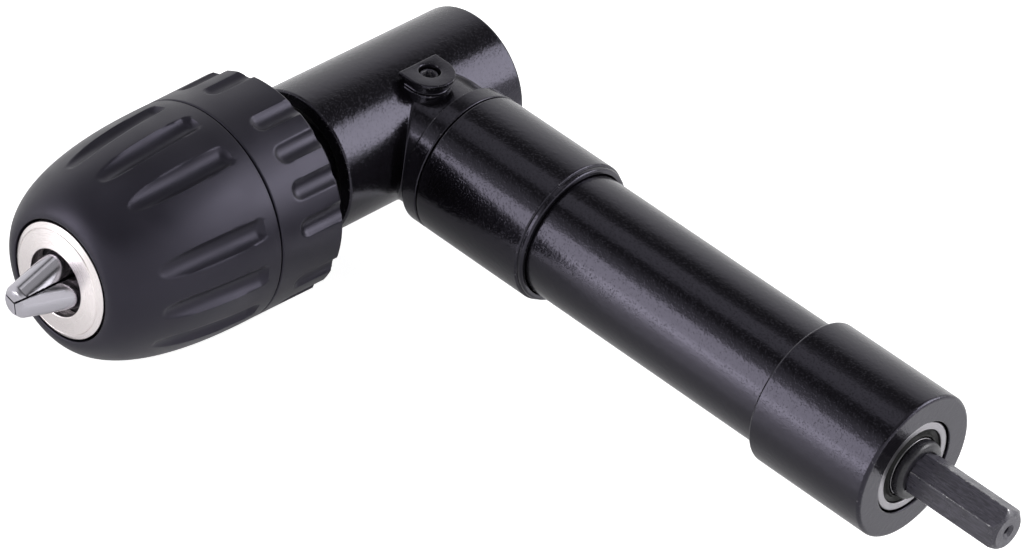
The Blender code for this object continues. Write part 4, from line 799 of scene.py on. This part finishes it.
angles = np.linspace(0.0, math.tau, 240, endpoint=False)
round_part = [(0.0, 6.0), (3.5, 6.0), (4.0, 6.5), (4.0, SHANK_START)]
hexagon_part = [(PAST_CORNERS, along) for along in (
    SHANK_START, 136.34, 155.6, 155.85, 156.0, 156.15, 156.3, 156.45, 156.7, 156.9)]
end_part = [(3.44, SHANK_END), (3.36, SHANK_END), (1.45, SHANK_END), (1.4, 156.96), (0.8, 156.4),
            (0.8, 154.6), (0.0, 154.4)]
shaft_radius, shaft_along = np.hsplit(np.array(round_part + hexagon_part + end_part), 2)
flat_side = hexagon(angles[None, :], FLATS)
cone = END_RADIUS + np.maximum(SHANK_END - shaft_along, 0.0)
in_hex = shaft_radius == PAST_CORNERS
reach = np.where(in_hex, soft_least(0.035, flat_side, cone, CORNER_REACH), shaft_radius)
corner_wear = np.clip((flat_side - WORN_FROM) / WORN_WIDTH, 0.0, 1.0)
chamfer_wear = np.exp(-((flat_side - cone) / CHAMFER_BAND) ** 2)
marks = np.where(in_hex, np.maximum(corner_wear, chamfer_wear), 0.0)
grid = on_drive_axis(reach, angles[None, :], shaft_along)
shank = skin("hex_shank", grid, marks, oxide, False)
fit(shank, "drive_line", "hex_drive_shaft")

# %% [markdown]
# ### Gear head
# The head is a barrel along the chuck's axis with a neck for the drive tube. The barrel's wall is open
# where the pinion comes in. Where barrel and neck meet, the casting is filleted: for each angle round
# the neck, a curve with three control points leaves the barrel, bends at the crease and runs out on
# the neck. The barrel is x = sqrt(R^2 - z^2) there.

# %% Barrel with the opening for the drive line
BARREL, CHAMBER = 15.0, 14.3
OPENING = 9.4
OPENING_COLUMNS = 20
outline = rounded_outline([
    (BARREL, -20.15, 0.7), (BARREL, -OPENING, 0.0), (BARREL, OPENING, 0.0), (BARREL, 27.3, 0.6),
    (12.2, 27.3, 0.25), (12.2, 14.7, 0.0),
    (CHAMBER, 14.7, 0.0), (CHAMBER, OPENING, 0.0), (CHAMBER, -OPENING, 0.0), (CHAMBER, -12.0, 0.0),
    (7.2, -12.0, 0.0), (7.2, -16.25, 0.0), (13.2, -16.25, 0.0), (13.2, -20.15, 0.3),
])
rows = [int(np.abs(outline[:, :2] - spot).sum(axis=1).argmin())
        for spot in ((BARREL, -OPENING), (BARREL, OPENING), (CHAMBER, OPENING), (CHAMBER, -OPENING))]
angles = np.linspace(0.0, math.tau, TURNS, endpoint=False)
grid = on_chuck_axis(outline[:, :1], angles[None, :], outline[:, 1:2])
barrel = skin("head_barrel", grid, outline[:, 2], enamel, cut=(rows, OPENING_COLUMNS))
fit(barrel, "gearbox", "gear_head_housing")

# %% Neck with its fillet
FILLET = 0.4
NECK = 13.25
NECK_BORE = 11.3
HIDDEN_IN, HIDDEN_BACK = 1.2, 2.0
angles = np.linspace(0.0, math.tau, TURNS, endpoint=False)[None, :]
wide = NECK + FILLET
foot_along = np.sqrt(BARREL**2 - (wide * np.sin(angles)) ** 2)
crease_along = np.sqrt(BARREL**2 - (NECK * np.sin(angles)) ** 2)
share = np.linspace(0.0, 1.0, 9)[:, None]
weights = (1 - share) ** 2, 2 * share * (1 - share), share**2
fillet_radius = weights[0] * wide + (weights[1] + weights[2]) * NECK
fillet_along = weights[0] * foot_along + weights[1] * crease_along + weights[2] * (crease_along + FILLET)
spigot = rounded_outline([
    (NECK, 12.0, 0.0), (NECK, 16.3, 0.05), (12.9, 16.3, 0.05), (12.9, 26.8, 0.1), (NECK_BORE, 26.8, 0.1),
    (NECK_BORE, 9.0, 0.0),
])[1:]
level = np.zeros_like(angles)
neck_radius = np.vstack([
    level + wide - HIDDEN_IN, fillet_radius + level, spigot[:, :1] + level, level + NECK_BORE,
])
neck_along = np.vstack([
    foot_along - HIDDEN_BACK, fillet_along, spigot[:, 1:2] + level, foot_along - HIDDEN_BACK,
])
neck_marks = np.concatenate([np.zeros(1 + len(share)), spigot[:, 2], [0.0]])
neck = skin("head_neck", on_drive_axis(neck_radius, angles, neck_along), neck_marks, enamel)
fit(neck, "gearbox", "gear_head_housing")

# %% [markdown]
# ### Boss with the grease screw
# Seen from above, the boss is a half circle with two straight sides that end in a flat. It stands on
# a foot and carries a plate, both a little wider than the wall between them, which is why the picture
# shows two bright rims with black between. A socket screw sits in the hole.

# %% Boss
BOSS = np.array([8.6, -22.05])
BOSS_HOLE = np.array([8.45, -21.85])
BOSS_HALF, BOSS_FLAT = 5.05, 3.4
angles = np.linspace(0.0, math.tau, 240, endpoint=False)[None, :]


def d_shape(inset):
    """Reach of the boss with its sides moved in: R, then R / |sin a| beside and F / -cos a at the flat."""
    beside = np.where(np.cos(angles) < 0, np.maximum(np.abs(np.sin(angles)), 1e-3), 1.0)
    flat = np.maximum(-np.cos(angles), 1e-3)
    return soft_least(0.05, (BOSS_HALF - inset) / beside, (BOSS_FLAT - inset) / flat)


def stacked(name, levels, centres, material, body, node):
    """Joins levels of (reach over the angles, height, edge mark) round their centres, up along +Z."""
    reach = np.vstack([level[0] + 0 * angles for level in levels])
    heights = np.array([level[1] for level in levels])[:, None]
    across = centres[:, :1] + reach * np.cos(angles)
    beside = centres[:, 1:] + reach * np.sin(angles)
    grid = np.stack(np.broadcast_arrays(across, beside, heights), -1)
    marks = np.array([level[2] for level in levels], float)
    fit(skin(name, grid, marks, material, False), body, node)


# Edge marks of 1 on the plate's rim and on the foot lighten the enamel there: worn primer and a painted
# highlight.
boss_rim = [(0.15, 15.14, 0), (0.05, 15.18, 1), (0.0, 15.28, 1), (0.0, 15.78, 1), (0.04, 15.9, 1),
            (0.13, 15.97, 1), (0.25, 16.0, 1), (0.32, 16.0, 0)]
boss_foot = [(0.2, 8.0, 0), (0.2, 13.05, 0), (0.22, 13.2, 1), (0.32, 13.38, 1), (0.5, 13.47, 1),
             (0.62, 13.5, 0), (0.74, 13.52, 0), (0.82, 13.62, 0), (0.82, 14.95, 0), (0.8, 15.08, 0),
             (0.7, 15.13, 0)]
boss_hole = [(2.45, 16.0, 0), (2.4, 15.99, 1), (2.25, 15.93, 1), (2.15, 15.8, 1), (2.15, 15.6, 0),
             (2.15, 12.4, 0), (0.0, 12.4, 0)]
outside = [(d_shape(inset), height, mark) for inset, height, mark in boss_foot + boss_rim]
levels = [(0.0, 8.0, 0)] + outside + boss_hole
centres = np.array([BOSS] * (len(outside) + 1) + [BOSS_HOLE] * len(boss_hole))
stacked("grease_boss", levels, centres, enamel, "gearbox", "gear_head_housing")

# %% Grease screw with its hexagon socket
SOCKET = 2.5
socket = hexagon(angles, SOCKET)
levels = [(0.0, 12.7, 0), (1.7, 12.7, 0), (1.8, 12.8, 0), (1.8, 14.9, 0), (1.76, 15.03, 1), (1.65, 15.1, 1),
          (1.62, 15.1, 0), (socket + 0.08, 15.1, 0), (socket + 0.02, 15.06, 1), (socket, 14.98, 1),
          (socket, 13.2, 1), (0.0, 12.95, 0)]
stacked("socket_screw", levels, np.array([BOSS_HOLE] * len(levels)), oxide, "gearbox", "grease_screw")

# %% [markdown]
# ### Keyless chuck
# The two plastic grips are surfaces of turning with grooves pressed in. A groove is a round bar laid
# on the surface: at a point s away from the bar's line it cuts down to the bar's centre radius less
# sqrt(r^2 - s^2). The softened least of that and of the plain outline gives a moulded, rounded rim.

# %% Grooved grip
RIM_SOFTNESS = 0.06


def groove_angles(groups, count, pitch, turn):
    """Angles of grooves that stand in equal groups."""
    middle = turn + np.arange(groups) * math.tau / groups
    return (middle[:, None] + (np.arange(count) - (count - 1) / 2) * pitch).reshape(-1)


def grooved(outline, angles, lines, start, end, start_radius, end_radius, bar, blunt):
    """Reach of a turned outline with bars of radius bar taken out along the given angles. Blunt
    makes the end at the start steeper than the bar's own round end."""
    radius, along = outline[:, :1], outline[:, 1:2]
    off = (angles[None, :, None] - lines[None, None, :] + math.pi) % math.tau - math.pi
    aside = radius * np.abs(off).min(axis=2)
    share = np.clip((along - start) / (end - start), 0.0, 1.0)
    centre = start_radius + share * (end_radius - start_radius)
    beyond = np.maximum(np.maximum(blunt * (start - along), along - end), 0.0)
    inside = np.maximum(bar**2 - aside**2 - beyond**2, 0.0)
    cut = np.where(inside > 0, centre - np.sqrt(inside), centre)
    return soft_least(RIM_SOFTNESS, radius + 0 * cut, cut)


print("a groove's rim is softened over", RIM_SOFTNESS, "mm")

# %% [markdown]
# The front grip is the sleeve that opens the jaws. It is a dome that falls steeply at the nose, with
# grooves in groups of three that end square at the seam and run out towards the nose. A lip at the
# seam reaches into the rear grip, so that no light comes through between them.

# %% Front grip sleeve
DOME_REAR, DOME_NOSE, DOME_LIP, DOME_WIDE = 52.45, 87.85, 12.6, 22.3
SEAM_ROUND = 0.35
GROOVE_START, GROOVE_END = 56.9, 79.0


def dome(along):
    """lip + (wide - lip)(1 - s^2.4)^(1/1.9), with s from 0 at the seam to 1 at the nose."""
    share = np.clip((along - DOME_REAR) / (DOME_NOSE - DOME_REAR), 0.0, 1.0)
    return DOME_LIP + (DOME_WIDE - DOME_LIP) * (1 - share**2.4) ** (1 / 1.9)


quarter = np.linspace(0.0, math.pi / 2, 96)
dome_along = DOME_REAR + SEAM_ROUND + (DOME_NOSE - DOME_REAR - SEAM_ROUND) * np.sin(quarter)
dome_rows = np.column_stack([dome(dome_along), dome_along, np.zeros(len(dome_along))])
seam_rows = rounded_outline([
    (18.3, 51.85, 0.1), (20.2, 51.85, 0.1), (20.2, DOME_REAR, 0.1), (DOME_WIDE, DOME_REAR, 0.3),
    (DOME_WIDE, 53.2, 0.0),
])[:-1]
inner_rows = rounded_outline([
    (12.8, DOME_NOSE, 0.0), (12.2, DOME_NOSE, 0.2), (12.2, 80.5, 0.0), (14.5, 80.5, 0.0), (14.5, 70.3, 0.0),
    (18.3, 70.3, 0.0), (18.3, 60.0, 0.0),
])[1:]
outline = np.vstack([seam_rows, dome_rows, inner_rows])
angles = np.linspace(0.0, math.tau, 600, endpoint=False)
lines = groove_angles(4, 3, math.radians(25), math.radians(1.5))
reach = grooved(
    outline, angles, lines, start=GROOVE_START, end=GROOVE_END, start_radius=float(dome(GROOVE_START)) + 1.45,
    end_radius=float(dome(GROOVE_END)) + 2.3, bar=2.6, blunt=1.9)
sleeve = skin("front_grip", on_chuck_axis(reach, angles[None, :], outline[:, 1:2]), outline[:, 2], plastic)
fit(sleeve, "chuck_sleeve", "front_grip_sleeve")

# %% [markdown]
# The rear grip is pressed on the chuck's body. It tapers by a hair from 22.5 mm at its rear to 22.3 mm
# at the seam, and its grooves, in groups of four, are open at the rear.

# %% Rear grip ring
REAR_WIDE, REAR_START, REAR_END = 22.5, 36.9, 52.15
flank = np.linspace(37.2, 51.7, 44)
taper = (REAR_WIDE - DOME_WIDE) * (flank - REAR_START) / (REAR_END - REAR_START)
flank_rows = np.column_stack([REAR_WIDE - taper, flank, np.zeros(len(flank))])
rear_rows = rounded_outline([
    (9.0, 36.3, 0.3), (21.9, 36.3, 0.35), (REAR_WIDE, REAR_START, 0.35), (REAR_WIDE, 38.0, 0.0),
])[:-1]
front_rows = rounded_outline([
    (22.31, 51.0, 0.0), (DOME_WIDE, REAR_END, 0.3), (20.5, REAR_END, 0.1), (20.5, 51.5, 0.1),
    (19.1, 51.5, 0.1), (19.1, 45.4, 0.0), (15.8, 45.4, 0.0), (15.8, 38.2, 0.0), (9.0, 38.2, 0.0),
    (9.0, 37.0, 0.0),
])[1:]
outline = np.vstack([rear_rows, flank_rows, front_rows])
lines = groove_angles(4, 4, math.radians(19), math.radians(45))
reach = grooved(outline, angles, lines, start=30.0, end=45.3, start_radius=23.95, end_radius=23.95,
                bar=2.5, blunt=1.0)
rear_grip = skin("rear_grip", on_chuck_axis(reach, angles[None, :], outline[:, 1:2]), outline[:, 2], plastic)
fit(rear_grip, "chuck_spindle", "rear_grip_ring")

# %% [markdown]
# The nose ring is a washer with a face that rises a little towards the jaws. Its rim is a flat cone,
# and a fine step between the two mirrors other walls than they do, which gives the thin line beside
# the edge. Behind the chuck a piece of the spindle and its oil seal show.

# %% Nose ring
turned("nose_washer", [
    (7.6, 85.2, 0.1), (11.68, 85.2, 0.2), (11.68, 87.8, 0.15), (10.72, 88.42, 0.08), (10.6, 88.3, 0.04),
    (10.46, 88.52, 0.08), (6.7, 89.05, 0.22),
], on_chuck_axis, nickel, "chuck_spindle", "nose_ring")

# %% Output spindle and oil seal
turned("spindle_shaft", [
    (0.0, -15.6, 0.0), (4.0, -15.6, 0.3), (4.0, -9.4, 0.0), (4.5, -9.4, 0.0), (4.5, 14.7, 0.0),
    (6.0, 14.7, 0.0), (6.0, 21.3, 0.0), (8.0, 21.3, 0.15), (8.0, 38.2, 0.15), (4.75, 38.2, 0.0),
    (4.75, 52.5, 0.2), (2.6, 52.5, 0.1), (2.6, 39.5, 0.0), (0.0, 38.7, 0.0),
], on_chuck_axis, dark_oxide, "chuck_spindle", "output_spindle")
turned("oil_seal", [
    (8.45, 22.7, 0.05), (12.0, 22.7, 0.1), (12.0, 25.3, 0.25), (9.9, 25.3, 0.15), (9.5, 24.6, 0.2),
    (9.0, 24.9, 0.15), (8.45, 24.2, 0.05),
], on_chuck_axis, rubber, "gearbox", "front_oil_seal")

# %% [markdown]
# ### Jaws
# A jaw is a round pin that leans towards the nose, cut back by two flat sides that meet on the
# chuck's axis. In a plane across the axis the pin is an ellipse, the flats are two lines and the
# rounded tip is a circle. From a point inside, the least distance to them is the reach.

# %% Section of a jaw
TILT = math.radians(16.5)
PIN = 3.4
NOSE_FACE, OUTER_AT_NOSE = 88.15, 6.2
JAW_TIP, JAW_BACK = 99.15, 61.5
TIP_RADIUS, TIP_SLOPE, TIP_LENGTH = 2.45, 0.9, 1.2
HALF_GAP = 0.15
FAR = 1e3
HALF_SPREAD = math.pi / 3


def jaw_section(along, spin):
    """Centre and reach of a jaw's section across the chuck's axis. The reach to the pin solves
    a t^2 + 2 b t + c = 0, which puts a point t away from the centre on the ellipse."""
    outer = OUTER_AT_NOSE + (NOSE_FACE - along) * math.tan(TILT)
    half_width = PIN / math.cos(TILT)
    centre = outer - half_width
    inner = np.maximum(centre - half_width, HALF_GAP / math.sin(HALF_SPREAD))
    middle = (inner + outer) / 2
    off = middle - centre
    a = (np.cos(spin) / half_width) ** 2 + (np.sin(spin) / PIN) ** 2
    b = off * np.cos(spin) / half_width**2
    c = (off / half_width) ** 2 - 1
    to_pin = (-b + np.sqrt(np.maximum(b * b - a * c, 0.0))) / a
    lean = np.abs(np.sin(spin)) * math.cos(HALF_SPREAD) - np.cos(spin) * math.sin(HALF_SPREAD)
    from_flat = middle * math.sin(HALF_SPREAD) - HALF_GAP
    to_flat = np.where(lean > 1e-6, from_flat / np.maximum(lean, 1e-6), FAR)
    tip_radius = TIP_RADIUS + np.maximum(JAW_TIP - along, 0.0) * TIP_SLOPE
    inside = (middle * np.cos(spin)) ** 2 - middle**2 + tip_radius**2
    on_tip = -middle * np.cos(spin) + np.sqrt(np.maximum(inside, 0.0))
    to_tip = np.where(along > JAW_TIP - TIP_LENGTH, on_tip, FAR)
    return middle, soft_least(0.04, to_pin, to_flat, to_tip)


print("the jaw's centre line meets the nose face at",
      round(OUTER_AT_NOSE - PIN / math.cos(TILT), 2), "mm from the axis")

# %% [markdown]
# The three jaws are the same section carried from the tip to the back, turned by a third each. The
# first and the last row are poles that close the ends, and the tip's edge is a little rounded.

# %% Jaws
FIRST_JAW, TIP_ROUND = 106, 0.05
jaw_along = np.concatenate([
    [JAW_TIP, JAW_TIP, JAW_TIP - 0.06], JAW_TIP - np.linspace(0.25, 1.6, 8), np.linspace(97.0, JAW_BACK, 28),
    [JAW_BACK],
])[:, None]
spin = np.linspace(0.0, math.tau, 160, endpoint=False)[None, :]
middle, reach = jaw_section(jaw_along, spin)
reach[1] -= TIP_ROUND
reach[[0, -1]] = 0.0
across = middle + reach * np.cos(spin)
beside = reach * np.sin(spin)
for number in range(3):
    turn = math.radians(FIRST_JAW + 120 * number)
    angle = np.arctan2(beside, across) + turn
    grid = on_chuck_axis(np.hypot(across, beside), angle, jaw_along)
    jaw = skin(f"chuck_jaw_{number + 1}", grid, np.zeros(len(grid)), jaw_steel, False)
    fit(jaw, f"jaw_{number + 1}", f"jaw_{number + 1}")

# %% Size of the solids
print("size of the solids", [round(v / MM, 2) for v in CAD_BOX[1] - CAD_BOX[0]])
